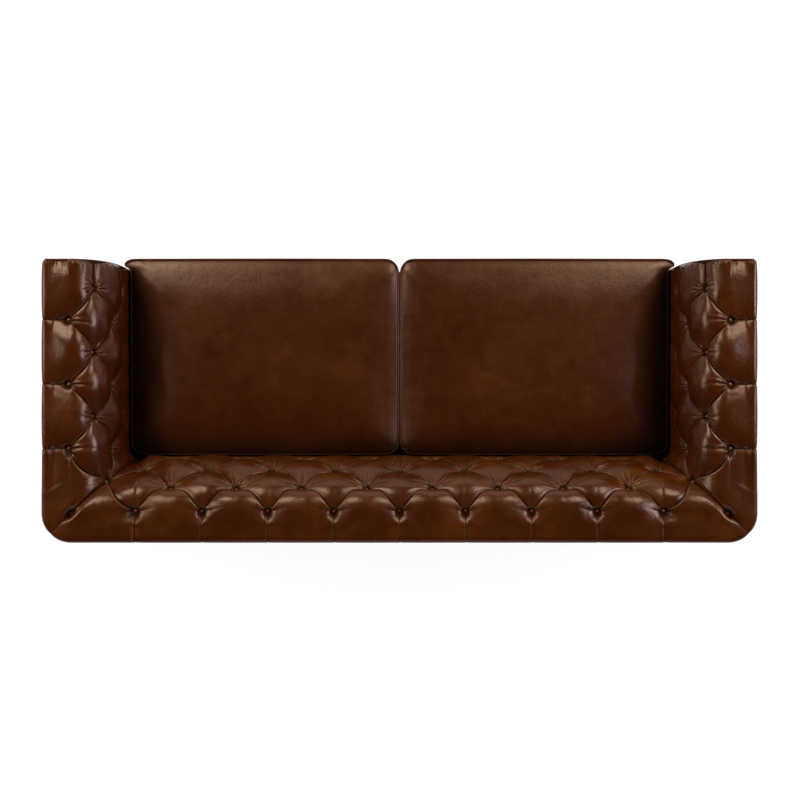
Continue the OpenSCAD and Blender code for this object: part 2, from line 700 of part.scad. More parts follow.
// A short straight collar at the top of a leg, over a small step
leg_collar_h = 14;
leg_step_h = 4;
leg_step = 3;
leg_foot_edge = [1, 2];
module legs() {
    color(walnut) for (p = leg_spots_all) translate([p[0], p[1], 0]) difference() {
        rotate_extrude() polygon([
            [0, glide_t], [leg_foot_r - leg_foot_edge[0], glide_t],
            [leg_foot_r, glide_t + leg_foot_edge[1]],
            [leg_top_r - leg_step, leg_top - leg_collar_h - leg_step_h],
            [leg_top_r, leg_top - leg_collar_h], [leg_top_r, leg_top], [0, leg_top]]);
        translate([0, 0, leg_top - leg_bore_h]) cylinder(h = leg_bore_h + 1, r = bolt_hole_r);
    }
}
nut_t = 2;
bolt_tip = 4;
module hanger_bolts() {
    color(steel) {
        for (p = leg_spots) translate([p[0], p[1], leg_top - leg_bore_h + ease])
            cylinder(h = leg_bore_h + dust_t + block_h + nut_t + bolt_tip, r = bolt_r);
        translate([0, 0, leg_top - leg_bore_h + ease])
            cylinder(h = leg_bore_h + dust_t + mid_bore_h - 2 * ease, r = bolt_r);
    }
}
module t_nuts() {
    color(steel) for (p = leg_spots) translate([p[0], p[1], leg_h + block_h]) difference() {
        cylinder(h = nut_t, r = bolt_r * 3);
        translate([0, 0, -1]) cylinder(h = nut_t + 2, r = bolt_hole_r);
    }
}
module leg_glides() {
    color([0.2, 0.2, 0.2]) for (p = leg_spots_all) translate([p[0], p[1], 0])
        cylinder(h = glide_t, r = leg_foot_r - 3);
}

// Seat cushions: rings of a rounded outline, each drawn in by t at height z
welt_out = welt_r + ease;
seam_reach = welt_out + welt_r;
cushion_x0 = cushion_gap + seam_reach;
cushion_x1 = side_x - arm_profile(end_row)[0] - 1 - seam_reach;
cushion_y0 = cushion_front_y + seam_reach;
cushion_y1 = back_y - back_profile(end_row)[0] - back_gap - seam_reach;
cushion_mid = [(cushion_x0 + cushion_x1) / 2, (cushion_y0 + cushion_y1) / 2];
cushion_size = [cushion_x1 - cushion_x0, cushion_y1 - cushion_y0];
cushion_z0 = deck_h + ease;
low_seam_z = cushion_z0 + welt_r + 1;
top_seam_z = seat_h - crown_h;
side_mid_z = (low_seam_z + top_seam_z) / 2;
zip_band = 18;
least_corner_r = 6;
function outline(t, steps, nx, ny) = let (
    w = cushion_size[0] / 2 - t, d = cushion_size[1] / 2 - t, r = max(cushion_corner_r - t, least_corner_r),
    corner = function (sx, sy, a0) [for (k = [0:steps])
        [sx * (w - r) + r * cos(a0 + 90 * k / steps), sy * (d - r) + r * sin(a0 + 90 * k / steps)]],
    run = function (p, q, n) [for (k = [1:n]) p + (q - p) * k / (n + 1)])
    concat(
        corner(1, 1, 0), run([w - r, d], [r - w, d], nx),
        corner(-1, 1, 90), run([-w, d - r], [-w, r - d], ny),
        corner(-1, -1, 180), run([r - w, -d], [w - r, -d], nx),
        corner(1, -1, 270), run([w, r - d], [w, d - r], ny));
module ring_solid(rings, z_low, z_high, steps, nx, ny) {
    n = 4 * (steps + 1) + 2 * nx + 2 * ny;
    m = len(rings);
    points = concat(
        [for (g = rings) each [for (p = outline(g[0], steps, nx, ny)) [p[0], p[1], g[1]]]],
        [[0, 0, z_low], [0, 0, z_high]]);
    faces = concat(
        [for (i = [0:m - 2], j = [0:n - 1], e = [0, 1]) let (
            a = i * n + j, b = i * n + (j + 1) % n, c = a + n, d = b + n)
            e == 0 ? [a, c, b] : [b, c, d]],
        [for (j = [0:n - 1]) [m * n, j, (j + 1) % n]],
        [for (j = [0:n - 1]) [m * n + 1, (m - 1) * n + (j + 1) % n, (m - 1) * n + j]]);
    polyhedron(points, faces, convexity = 6);
}
// Underside rings: how far in, and how far above the deck
under_rings = [[70, 0], [20, 0.6], [6, 2.5]];
// Crown rings: how far in, and the share of the crown's rise
crown_rings = [[8, 0.25], [28, 0.5], [70, 0.77], [140, 0.94]];
seam_relax = 22;
part_draw_in = draw_in * 0.6;
cover_rings = concat(
    [for (g = under_rings) [g[0], cushion_z0 + g[1]]],
    [[0, low_seam_z], [part_draw_in, low_seam_z + seam_relax], [draw_in, side_mid_z - zip_band],
        [draw_in, side_mid_z + zip_band], [part_draw_in, top_seam_z - seam_relax],
        [0, top_seam_z]],
    [for (g = crown_rings) [g[0], top_seam_z + crown_h * g[1]]]);
// The hollow inside the leather, drawn in by t more
cavity_t = 9;
cavity_floor = 3;
cavity_edge = 6;
cavity_seam_gap = 8;
cavity_shoulder = 16;
cavity_crown = [90, 0.4];
function cavity_rings(t) = [
    [cavity_t + cavity_edge + t, cushion_z0 + cavity_floor + t],
    [cavity_t + t, low_seam_z + cavity_seam_gap],
    [draw_in + cavity_edge + t, side_mid_z - zip_band],
    [draw_in + cavity_edge + t, side_mid_z + zip_band],
    [cavity_t + t, top_seam_z - cavity_seam_gap],
    [cavity_t + cavity_shoulder + t, top_seam_z - 1 - t],
    [cavity_crown[0] + t, top_seam_z + crown_h * cavity_crown[1] - t]];
cavity_top = seat_h - cavity_edge;
module to_cushion(side) {
    mirror([side > 0 ? 0 : 1, 0, 0]) translate([cushion_mid[0], cushion_mid[1], 0]) children();
}
module cushion_cover(side) {
    color(leather) to_cushion(side) difference() {
        ring_solid(cover_rings, cushion_z0, seat_h, 4, 8, 6);
        ring_solid(cavity_rings(0), cushion_z0 + cavity_floor, cavity_top, 2, 1, 1);
    }
}
core_in = 38;
core_gap = 14;
core_size = [cushion_size[0] - 2 * core_in, cushion_size[1] - 2 * core_in];
core_z0 = cushion_z0 + core_gap;
core_z1 = top_seam_z - core_gap;
module core_block(grow) {
    translate([-core_size[0] / 2 - grow, -core_size[1] / 2 - grow, core_z0 - grow])
        cube([core_size[0] + 2 * grow, core_size[1] + 2 * grow, core_z1 - core_z0 + 2 * grow]);
}
module cushion_wrap(side) {
    color(wadding) to_cushion(side) difference() {
        ring_solid(cavity_rings(ease), cushion_z0 + cavity_floor + ease, cavity_top - ease, 2, 1, 1);
        core_block(ease);
    }
}
module cushion_core(side) {
    color(foam_yellow) to_cushion(side) core_block(0);
}
module cushion_welts(side) {
    color(dark_leather) to_cushion(side) for (z = [low_seam_z, top_seam_z])
        cord([for (p = outline(-welt_out, 4, 8, 6)) [p[0], p[1], z]], welt_r, [0, 0, 1], true);
}
// The zip lies on the drawn-in band of the rear side
zip_y = cushion_size[1] / 2 - draw_in + ease;
tape_t = 1;
tape_h = 28;
chain_t = 2;
chain_h = 5;
chain_in = 4;
module cushion_zip(side) {
    color(black_cloth) to_cushion(side) {
        translate([-zip_len / 2, zip_y, side_mid_z - tape_h / 2]) cube([zip_len, tape_t, tape_h]);
        translate([-zip_len / 2 + chain_in, zip_y + tape_t, side_mid_z - chain_h / 2])
            cube([zip_len - 2 * chain_in, chain_t, chain_h]);
    }
}
slider_l = 12;
slider_wall = 1.2;
slider_stop = 12;
pull_w = 4;
pull_len = 20;
pull_drop = 2;
zip_rest_x = zip_len / 2 - slider_l / 2 - slider_stop;
module zip_slider(side) {
    inner = chain_h + 2 * ease;
    h = inner + 2 * slider_wall;
    y = zip_y + tape_t + ease;
    color(steel) to_cushion(side) translate([zip_rest_x, 0, side_mid_z]) {
        difference() {
            translate([-slider_l / 2, y, -h / 2])
                cube([slider_l, chain_t + slider_wall, h]);
            translate([-slider_l / 2 - 1, y - 1, -inner / 2])
                cube([slider_l + 2, chain_t + 1, inner]);
        }
        translate([-pull_w / 2, y + chain_t + slider_wall, -pull_len - pull_drop])
            cube([pull_w, 1, pull_len]);
    }
}

front_rail();
rear_rail();
side_rails();
seat_stretchers();
front_rail_pad();
corner_blocks();
mirror([1, 0, 0]) arm_posts();  // left_arm_posts
arm_posts();  // right_arm_posts
rear_corner_posts();
back_posts();
mirror([1, 0, 0]) arm_top_rail();  // left_arm_top_rail
arm_top_rail();  // right_arm_top_rail
back_top_rail();
arm_tack_rails();
back_tack_rails();
seat_springs();
spring_clips();
spring_tie_wires();
back_webbing();
arm_webbing();
back_hessian();
arm_hessian();
outside_back_board();
outside_arm_boards();
color(foam_yellow) foam_pad(false);  // back_foam
color(foam_yellow) mirror([1, 0, 0]) foam_pad(true);  // left_arm_foam
color(foam_yellow) foam_pad(true);  // right_arm_foam
deck_pad();
deck_cloth();
color(leather) cover_pad(false);  // inside_back_cover
color(leather) mirror([1, 0, 0]) cover_pad(true);  // left_inside_arm_cover
color(leather) cover_pad(true);  // right_inside_arm_cover
outside_back_cover();
mirror([1, 0, 0]) outside_arm_cover();  // left_outside_arm_cover
outside_arm_cover();  // right_outside_arm_cover
front_rail_cover();
mirror([1, 0, 0]) arm_facing();  // left_arm_facing
arm_facing();  // right_arm_facing
facing_welts();
dust_cover();
color(dark_leather) for (b = back_button_list()) at_button(false, b[0], b[1]) button();  // back_buttons
color(dark_leather) mirror([1, 0, 0])  // left_arm_buttons
        for (b = arm_button_list()) at_button(true, b[0], b[1]) button();
color(dark_leather) for (b = arm_button_list()) at_button(true, b[0], b[1]) button();  // right_arm_buttons
color(jute) {  // tufting_twine
    for (b = back_button_list()) at_button(false, b[0], b[1]) twine(false, b[0], b[1]);
    both_sides() for (b = arm_button_list()) at_button(true, b[0], b[1]) twine(true, b[0], b[1]);
}
legs();
hanger_bolts();
t_nuts();
leg_glides();
cushion_cover(-1);  // left_cushion_cover
cushion_wrap(-1);  // left_cushion_wrap
cushion_core(-1);  // left_cushion_core
cushion_welts(-1);  // left_cushion_welts
cushion_zip(-1);  // left_cushion_zip
zip_slider(-1);  // left_zip_slider
cushion_cover(1);  // right_cushion_cover
cushion_wrap(1);  // right_cushion_wrap
cushion_core(1);  // right_cushion_core
cushion_welts(1);  // right_cushion_welts
cushion_zip(1);  // right_cushion_zip
zip_slider(1);  // right_zip_slider
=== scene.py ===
# %% [markdown]
# # A button-tufted leather sofa
#
# The sofa is a hardwood frame under foam and leather. Its back and arms are tufted: twine pulls
# covered buttons deep into the padding, and the spare leather folds into pleats between them.
# Two loose box cushions lie on the seat. We look straight down on it.
#
# The construction comes in as a fixed frame. Everything soft or shiny is made again round it.

# %% Load the frame
import math

import bpy
import numpy as np
from mathutils import Matrix, Vector


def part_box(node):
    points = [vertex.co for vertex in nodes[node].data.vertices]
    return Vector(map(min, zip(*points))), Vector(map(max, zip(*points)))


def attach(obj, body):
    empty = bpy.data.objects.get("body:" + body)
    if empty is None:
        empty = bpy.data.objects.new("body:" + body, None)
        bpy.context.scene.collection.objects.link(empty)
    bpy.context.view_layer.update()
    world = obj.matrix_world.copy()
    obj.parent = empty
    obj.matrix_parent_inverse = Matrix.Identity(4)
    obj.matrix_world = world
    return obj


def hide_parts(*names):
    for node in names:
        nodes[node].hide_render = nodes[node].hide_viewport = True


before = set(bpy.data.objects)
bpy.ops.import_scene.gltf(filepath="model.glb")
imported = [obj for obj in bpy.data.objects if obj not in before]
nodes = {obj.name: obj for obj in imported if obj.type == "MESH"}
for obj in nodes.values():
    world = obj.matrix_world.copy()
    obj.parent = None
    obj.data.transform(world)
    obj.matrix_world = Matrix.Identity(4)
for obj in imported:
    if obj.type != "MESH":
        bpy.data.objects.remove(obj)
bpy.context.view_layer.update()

# %% [markdown]
# ## The camera
#
# The picture was taken from straight above, with the front of the sofa at the top. A camera at
# 4.7 m with a slightly long lens gives the same lean of the back and arms. Turning it by half a
# turn about its own axis puts the front edge at the top of the picture.

# %% Camera above the seat
EYE = (-0.0016, 0.009, 4.74)
LENS_MM = 56.5

camera_data = bpy.data.cameras.new("overhead_camera")
camera_data.lens = LENS_MM
camera_data.sensor_width = 36
camera = bpy.data.objects.new("overhead_camera", camera_data)
camera.location = EYE
camera.rotation_euler = (0, 0, math.pi)
bpy.context.scene.collection.objects.link(camera)
bpy.context.scene.camera = camera
print("camera:", EYE, LENS_MM, "mm")

# %% [markdown]
# ## Light and floor
#
# Glossy leather shows the lamps as soft patches wherever it leans towards them, so where the
# lamps stand matters more than how strong they are. Nothing hangs straight above, which keeps the
# flat cushion tops dark. Two oval softboxes stand past the front corners and one at each side. A
# low one lights the front faces, and a faint one stands behind.
#
# The floor is pale. A glow that only the camera and mirror rays see lifts it to white, and the
# shadow of the sofa still falls on it.

# %% Softboxes, world and floor
bpy.context.scene.view_settings.view_transform = "Standard"


def softbox(name, place, aim, size, glow, tint):
    """An oval lamp at place that faces aim. glow is how bright its face looks."""
    lamp = bpy.data.lights.new(name, "AREA")
    lamp.shape = "ELLIPSE"
    lamp.size, lamp.size_y = size
    lamp.energy = glow * math.pi * size[0] * size[1] * math.pi / 4
    lamp.color = tint
    holder = bpy.data.objects.new(name, lamp)
    holder.location = place
    holder.rotation_euler = (Vector(aim) - Vector(place)).to_track_quat("-Z", "Y").to_euler()
    bpy.context.scene.collection.objects.link(holder)


WARM, COOL = (1.0, 0.94, 0.84), (0.95, 0.93, 1.15)
softbox("front_right_softbox", (2.2, -2.8, 3.5), (0.3, 0, 0.5), (2.3, 1.7), 10.5, WARM)
softbox("front_left_softbox", (-2.2, -2.8, 3.5), (-0.3, 0, 0.5), (2.3, 1.7), 9.5, WARM)
softbox("left_softbox", (-3.6, -0.6, 2.8), (-0.3, 0, 0.6), (1.5, 1.8), 11.0, COOL)
softbox("right_softbox", (3.6, -0.6, 2.8), (0.3, 0, 0.6), (1.5, 1.8), 8.0, WARM)
softbox("low_front_softbox", (0, -4.2, 1.5), (0, 0, 0.5), (4.4, 0.9), 1.8, WARM)
softbox("rear_softbox", (0, 4.0, 2.6), (0, 0, 0.6), (3.2, 1.0), 2.4, COOL)

AIR_LEVEL, WALL_LEVEL = 0.04, 0.5
# Heights, as the sine of the angle above the horizon, where the walls end and the air starts
WALL_END, AIR_START = 0.04, 0.20
FLOOR_SHADE, FLOOR_GLOW = 0.28, 0.95


def make_world():
    """Dim air overhead, with pale studio walls round the horizon."""
    world = bpy.data.worlds.new("studio_air")
    bpy.context.scene.world = world
    world.use_nodes = True
    tree = world.node_tree
    up = tree.nodes.new("ShaderNodeSeparateXYZ")
    fade = tree.nodes.new("ShaderNodeMapRange")
    fade.inputs["From Min"].default_value = WALL_END
    fade.inputs["From Max"].default_value = AIR_START
    fade.inputs["To Min"].default_value = WALL_LEVEL
    fade.inputs["To Max"].default_value = AIR_LEVEL
    tree.links.new(tree.nodes.new("ShaderNodeTexCoord").outputs["Generated"], up.inputs[0])
    tree.links.new(up.outputs["Z"], fade.inputs["Value"])
    air = tree.nodes["Background"]
    air.inputs["Color"].default_value = (1, 1, 1, 1)
    tree.links.new(fade.outputs["Result"], air.inputs["Strength"])


def make_floor():
    """A large pale floor. Its glow is for the camera and for mirror rays, never for lighting."""
    bpy.ops.mesh.primitive_plane_add(size=40, location=(0, 0, 0))
    floor = bpy.context.object
    floor.name = "studio_floor"
    material = bpy.data.materials.new("pale_floor")
    material.use_nodes = True
    tree = material.node_tree
    tree.nodes.clear()
    paint = tree.nodes.new("ShaderNodeBsdfDiffuse")
    paint.inputs["Color"].default_value = (FLOOR_SHADE, FLOOR_SHADE, FLOOR_SHADE, 1)
    glow = tree.nodes.new("ShaderNodeEmission")
    path = tree.nodes.new("ShaderNodeLightPath")
    seen = path.outputs["Is Camera Ray"]
    for ray in ("Is Glossy Ray", "Is Transmission Ray"):
        either = tree.nodes.new("ShaderNodeMath")
        either.operation = "MAXIMUM"
        tree.links.new(seen, either.inputs[0])
        tree.links.new(path.outputs[ray], either.inputs[1])
        seen = either.outputs[0]
    level = tree.nodes.new("ShaderNodeMath")
    level.operation = "MULTIPLY"
    level.inputs[1].default_value = FLOOR_GLOW
    both = tree.nodes.new("ShaderNodeAddShader")
    out = tree.nodes.new("ShaderNodeOutputMaterial")
    tree.links.new(seen, level.inputs[0])
    tree.links.new(level.outputs[0], glow.inputs["Strength"])
    tree.links.new(paint.outputs[0], both.inputs[0])
    tree.links.new(glow.outputs[0], both.inputs[1])
    tree.links.new(both.outputs[0], out.inputs[0])
    floor.data.materials.append(material)


make_world()
bpy.ops.object.select_all(action="DESELECT")
make_floor()
print("floor and lamps are in place")

# %% [markdown]
# ## Materials
#
# Each finish is a small graph of nodes: a few noises for colour, one or two for height, and a
# Principled shader. A helper class keeps the graph short to write: it makes a node, sets its
# inputs and returns the output that the next node reads. All patterns read the object's own
# coordinates, so they stay still when a cushion is lifted.


# %% A helper for node graphs
class Finish:
    """One node material, built a node at a time."""

    def __init__(self, name):
        self.material = bpy.data.materials.new(name)
        self.material.use_nodes = True
        self.tree = self.material.node_tree
        self.shader = self.tree.nodes["Principled BSDF"]
        self.spot = self.add("ShaderNodeTexCoord").outputs["Object"]

    def add(self, kind, **settings):
        node = self.tree.nodes.new(kind)
        for key, value in settings.items():
            setattr(node, key, value)
        return node

    def wire(self, node, **inputs):
        """Links sockets to inputs, and sets numbers and colours on them."""
        for key, value in inputs.items():
            socket = node.inputs[int(key[1:])] if key[0] == "_" else node.inputs[key]
            if isinstance(value, bpy.types.NodeSocket):
                self.tree.links.new(value, socket)
            else:
                socket.default_value = value
        return node

    def stretched(self, scale):
        return self.wire(self.add("ShaderNodeMapping"), Vector=self.spot, Scale=scale).outputs[0]

    def noise(self, scale, detail, rough, at=None, twist=0.0):
        node = self.add("ShaderNodeTexNoise")
        self.wire(node, Vector=at or self.spot, Scale=scale, Detail=detail, Roughness=rough,
                  Distortion=twist)
        return node.outputs["Fac"]

    def cells(self, scale, feature="F1"):
        node = self.add("ShaderNodeTexVoronoi", feature=feature)
        self.wire(node, Vector=self.spot, Scale=scale)
        return node.outputs["Distance"]

    def ramp(self, factor, *stops):
        node = self.wire(self.add("ShaderNodeValToRGB"), Fac=factor)
        band = node.color_ramp.elements
        while len(band) < len(stops):
            band.new(0.5)
        for element, (position, colour) in zip(band, stops):
            element.position = position
            element.color = (*colour, 1) if len(colour) == 3 else colour
        return node.outputs["Color"]

    def span(self, value, low, high, start=0.0, end=1.0):
        node = self.wire(self.add("ShaderNodeMapRange"), Value=value)
        node.inputs["From Min"].default_value = start
        node.inputs["From Max"].default_value = end
        node.inputs["To Min"].default_value = low
        node.inputs["To Max"].default_value = high
        return node.outputs["Result"]

    def math(self, operation, a, b):
        return self.wire(self.add("ShaderNodeMath", operation=operation), _0=a, _1=b).outputs[0]

    def blend(self, factor, a, b):
        node = self.add("ShaderNodeMix", data_type="RGBA")
        return self.wire(node, _0=factor, _6=a, _7=b).outputs[2]

    def attribute(self, name):
        return self.add("ShaderNodeAttribute", attribute_name=name).outputs["Fac"]

    def bump(self, height, depth, strength, under=None):
        node = self.add("ShaderNodeBump")
        self.wire(node, Height=height, Distance=depth, Strength=strength)
        if under is not None:
            self.wire(node, Normal=under)
        return node.outputs["Normal"]

    def surface(self, **inputs):
        names = {"colour": "Base Color", "rough": "Roughness", "normal": "Normal",
                 "metal": "Metallic", "gloss": "Specular IOR Level", "sheen": "Sheen Weight",
                 "tint": "Specular Tint"}
        for key, value in inputs.items():
            socket = self.shader.inputs[names[key]]
            if isinstance(value, bpy.types.NodeSocket):
                self.tree.links.new(value, socket)
            else:
                socket.default_value = value
        return self.material


# %% [markdown]
# ### Pull-up leather
#
# This hide is waxed: dark where it is slack, and lighter and more orange where it is stretched or
# rubbed. Three things make it: slow mottling between near-black brown and warm chestnut, a fine
# cell pattern for the grain with pores in it, and two attributes painted by the shapes
# themselves. One is painted shade: it darkens and dulls the bottoms of the pleats, the button
# wells, the edges of the plain panels and the cushions in the crooks of arm and back, where no
# light gets in. The other lightens and warms the edges beside the pleats and the ridges of the
# wrinkles, partly as rubbed wear and partly as painted highlight.

# %% Leather
HIDE_DARK = (0.030, 0.0054, 0.0003)
HIDE_MID = (0.052, 0.0098, 0.0004)
HIDE_WARM = (0.100, 0.0225, 0.0012)
# Painted shade: near black, for pleat bottoms, button wells and crooks
HIDE_PAINTED_SHADE = (0.0022, 0.0005, 0.0003)
# Rubbed wear, and painted highlight on pleat lips and wrinkle ridges
HIDE_RUBBED_AND_LIT = (0.24, 0.085, 0.022)
GLOSS_TINT = (1.0, 0.75, 0.57, 1.0)
# The colour of the reflection where shade is painted
GLOSS_IN_PAINTED_SHADE = (0.08, 0.05, 0.04, 1.0)
HIDE_GLOSS = 0.47
# How fine each pattern is, as a noise scale per metre
SLOW, CLOUDS, SCUFFS, PEBBLE, PORES, CREASES, WAVES = 2.6, 16, 60, 520, 1700, 90, 20
# How strongly scuffs, rubbing with painted highlight, and painted shade show in the colour
SCUFF_SHOWS, RUB_AND_HIGHLIGHT_SHOWS, PAINTED_SHADE_SHOWS = 0.12, 0.30, 0.95


def leather(name, warmth=0.0, grain=1.0, rough=0.30):
    """Waxed brown hide. warmth shifts it towards chestnut."""
    f = Finish(name)
    painted_shade, rub_and_highlight = f.attribute("painted_shade"), f.attribute("rub_and_highlight")
    slow = f.noise(SLOW, 4, 0.55, twist=0.5)
    cloudy = f.noise(CLOUDS, 3, 0.5, twist=0.6)
    mottling = f.math("ADD", f.math("MULTIPLY", slow, 0.6), f.math("MULTIPLY", cloudy, 0.4))
    base = f.ramp(f.math("ADD", mottling, warmth), (0.26, HIDE_DARK), (0.54, HIDE_MID),
                  (0.78, HIDE_WARM))
    scuffs = f.ramp(f.noise(SCUFFS, 5, 0.6, twist=0.6), (0.60, (0, 0, 0)), (0.82, (1, 1, 1)))
    base = f.blend(f.math("MULTIPLY", scuffs, SCUFF_SHOWS), base, (*HIDE_RUBBED_AND_LIT, 1))
    # Lighter where the shapes paint it: partly rubbed wear, partly painted highlight
    base = f.blend(f.math("MULTIPLY", rub_and_highlight, RUB_AND_HIGHLIGHT_SHOWS), base, (*HIDE_RUBBED_AND_LIT, 1))
    # Painted shade, near black at the bottoms of pleats and wells and in the crooks
    base = f.blend(f.math("MULTIPLY", painted_shade, PAINTED_SHADE_SHOWS), base, (*HIDE_PAINTED_SHADE, 1))
    pebble = f.math("MULTIPLY", f.cells(PEBBLE, "SMOOTH_F1"), 0.6)
    pores = f.math("MULTIPLY", f.noise(PORES, 3, 0.6), 0.3)
    fine = f.bump(f.math("ADD", pebble, pores), 0.00025 * grain, 0.5)
    soft = f.bump(f.noise(CREASES, 4, 0.6, twist=0.4), 0.0016, 0.3, under=fine)
    uneven = f.bump(f.noise(WAVES, 3, 0.5, twist=0.4), 0.004, 0.15, under=soft)
    sheen = f.span(f.math("ADD", slow, f.math("MULTIPLY", cloudy, 0.6)), rough - 0.05,
                   rough + 0.08, 0.5, 1.1)
    dull = f.math("ADD", sheen, f.math("MULTIPLY", painted_shade, 0.2))
    # The painted shade darkens the reflection as well
    tint = f.blend(f.math("MULTIPLY", painted_shade, 0.9), GLOSS_TINT, GLOSS_IN_PAINTED_SHADE)
    return f.surface(colour=base, rough=dull, normal=uneven, gloss=HIDE_GLOSS, tint=tint)


hide = leather("waxed_hide", warmth=0.03, rough=0.26)
cushion_hide = leather("cushion_hide", warmth=-0.03, rough=0.29)
plain_hide = leather("plain_hide", grain=1.2, rough=0.34)
welt_hide = leather("welt_hide", rough=0.38)
button_hide = leather("button_hide", warmth=0.05, grain=0.6)
print("leather finishes:", [m.name for m in (hide, cushion_hide, plain_hide, welt_hide,
                                             button_hide)])

# %% [markdown]
# ### Wood, cloth, foam and metal
#
# Most of the frame is hidden, but it is real: rough sawn hardwood, hessian, jute webbing, foam
# and spring steel. The legs are stained dark and polished. Each gets its own pattern at its own
# size.


# %% Finishes of the inner pieces and the legs
def timber(name, dark, light, along, rough, gloss=0.4):
    """Wood whose grain runs along one axis, given as a stretch."""
    f = Finish(name)
    lie = f.stretched(along)
    rings = f.noise(22, 6, 0.6, at=lie, twist=1.5)
    fibres = f.noise(160, 4, 0.6, at=lie)
    colour = f.ramp(f.math("ADD", f.math("MULTIPLY", rings, 0.7),
                           f.math("MULTIPLY", fibres, 0.3)), (0.35, dark), (0.65, light))
    return f.surface(colour=colour, rough=f.span(fibres, rough - 0.08, rough + 0.1),
                     normal=f.bump(fibres, 0.0006, 0.35), gloss=gloss)


def cloth(name, dark, light, threads):
    """Plain weave: two crossed waves, one per thread direction."""
    f = Finish(name)
    across = f.add("ShaderNodeTexWave", wave_type="BANDS", bands_direction="X")
    down = f.add("ShaderNodeTexWave", wave_type="BANDS", bands_direction="Y")
    for wave in (across, down):
        f.wire(wave, Vector=f.spot, Scale=threads, Distortion=0.6, Detail=1.0)
    weave = f.math("MULTIPLY", across.outputs["Fac"], down.outputs["Fac"])
    dirt = f.noise(30, 5, 0.6)
    colour = f.ramp(f.math("ADD", f.math("MULTIPLY", weave, 0.5), f.math("MULTIPLY", dirt, 0.5)),
                    (0.2, dark), (0.75, light))
    return f.surface(colour=colour, rough=0.9, normal=f.bump(weave, 0.0007, 0.6), sheen=0.2)


def sponge(name, dark, light, pore):
    """Foam or fibre: pores or tufts of one size with a slow change of shade."""
    f = Finish(name)
    holes = f.cells(pore)
    shade = f.noise(9, 4, 0.6)
    colour = f.ramp(f.math("ADD", f.math("MULTIPLY", holes, 0.5), f.math("MULTIPLY", shade, 0.6)),
                    (0.25, dark), (0.7, light))
    return f.surface(colour=colour, rough=0.95, normal=f.bump(holes, 0.0012, 0.6), sheen=0.1)


def metal(name, dark, light, rough):
    """Drawn or cast metal with fine scratches and a dull film."""
    f = Finish(name)
    film = f.noise(60, 5, 0.6)
    scratches = f.noise(400, 3, 0.7, at=f.stretched((1, 12, 1)))
    return f.surface(colour=f.ramp(film, (0.35, dark), (0.7, light)), metal=1.0,
                     rough=f.span(scratches, rough - 0.08, rough + 0.12),
                     normal=f.bump(scratches, 0.0002, 0.3))


def moulded(name, dark, light, rough):
    """Plastic or hardboard with a faint texture."""
    f = Finish(name)
    speck = f.noise(240, 4, 0.7)
    return f.surface(colour=f.ramp(speck, (0.35, dark), (0.7, light)),
                     rough=f.span(speck, rough - 0.05, rough + 0.1),
                     normal=f.bump(speck, 0.0003, 0.4))


frame_timber = timber("frame_timber", (0.36, 0.22, 0.11), (0.60, 0.42, 0.24), (1, 9, 9), 0.72)
leg_timber = timber("leg_timber", (0.010, 0.0045, 0.0025), (0.045, 0.019, 0.009), (9, 9, 1),
                    0.32, 0.5)
board = moulded("fibre_board", (0.24, 0.15, 0.08), (0.36, 0.24, 0.14), 0.8)
spring_steel = metal("spring_steel", (0.30, 0.30, 0.31), (0.55, 0.55, 0.56), 0.4)
zip_metal = metal("antique_brass", (0.22, 0.15, 0.07), (0.50, 0.38, 0.20), 0.38)
jute = cloth("jute", (0.20, 0.13, 0.06), (0.52, 0.40, 0.24), 160)
black_cloth = cloth("black_cloth", (0.008, 0.008, 0.009), (0.035, 0.034, 0.035), 300)
foam = sponge("seat_foam", (0.60, 0.50, 0.26), (0.86, 0.78, 0.50), 420)
fibre = sponge("fibre_wrap", (0.70, 0.70, 0.66), (0.92, 0.92, 0.90), 130)
glide = moulded("glide_plastic", (0.02, 0.02, 0.02), (0.05, 0.05, 0.05), 0.5)
print("finishes made:", len(bpy.data.materials))

# %% [markdown]
# ## Giving the inner pieces their finish
#
# The frame's hard pieces already have the right shape. They only need their material: it goes
# into the slot on the object, and the mesh stays as it is.

# %% Finish the hard pieces of the frame
HARD_PIECES = {
    frame_timber: ("front_rail", "rear_rail", "side_rails", "seat_stretchers", "corner_blocks",
                   "left_arm_posts", "right_arm_posts", "rear_corner_posts", "back_posts",
                   "left_arm_top_rail", "right_arm_top_rail", "back_top_rail",
                   "arm_tack_rails", "back_tack_rails"),
    spring_steel: ("seat_springs", "spring_clips", "spring_tie_wires", "hanger_bolts", "t_nuts"),
    jute: ("back_webbing", "arm_webbing", "tufting_twine"),
    board: ("outside_back_board", "outside_arm_boards"),
    leg_timber: ("legs",),
    glide: ("leg_glides",),
}
for material, names in HARD_PIECES.items():
    for name in names:
        for material_slot in nodes[name].material_slots:
            material_slot.material = material
print("hard pieces finished:", sum(len(names) for names in HARD_PIECES.values()))


# %% [markdown]
# ## Small helpers for pieces
#
# Every piece made here is finished in the same way: it gets a material, it rides on a body of the
# frame, and the nodes of the frame that it stands for are hidden.

# %% Make and dress a piece
MM = 0.001


def mesh_piece(name, points, faces):
    """A smooth-shaded object from points in millimetres."""
    mesh = bpy.data.meshes.new(name)
    mesh.from_pydata((np.asarray(points) * MM).tolist(), [], [list(f) for f in faces])
    mesh.update()
    mesh.polygons.foreach_set("use_smooth", [True] * len(mesh.polygons))
    piece = bpy.data.objects.new(name, mesh)
    bpy.context.scene.collection.objects.link(piece)
    return piece


def paint(piece, name, values):
    """Stores one number per point for the material to read."""
    layer = piece.data.attributes.new(name, "FLOAT", "POINT")
    layer.data.foreach_set("value", np.asarray(values, dtype=np.float32))


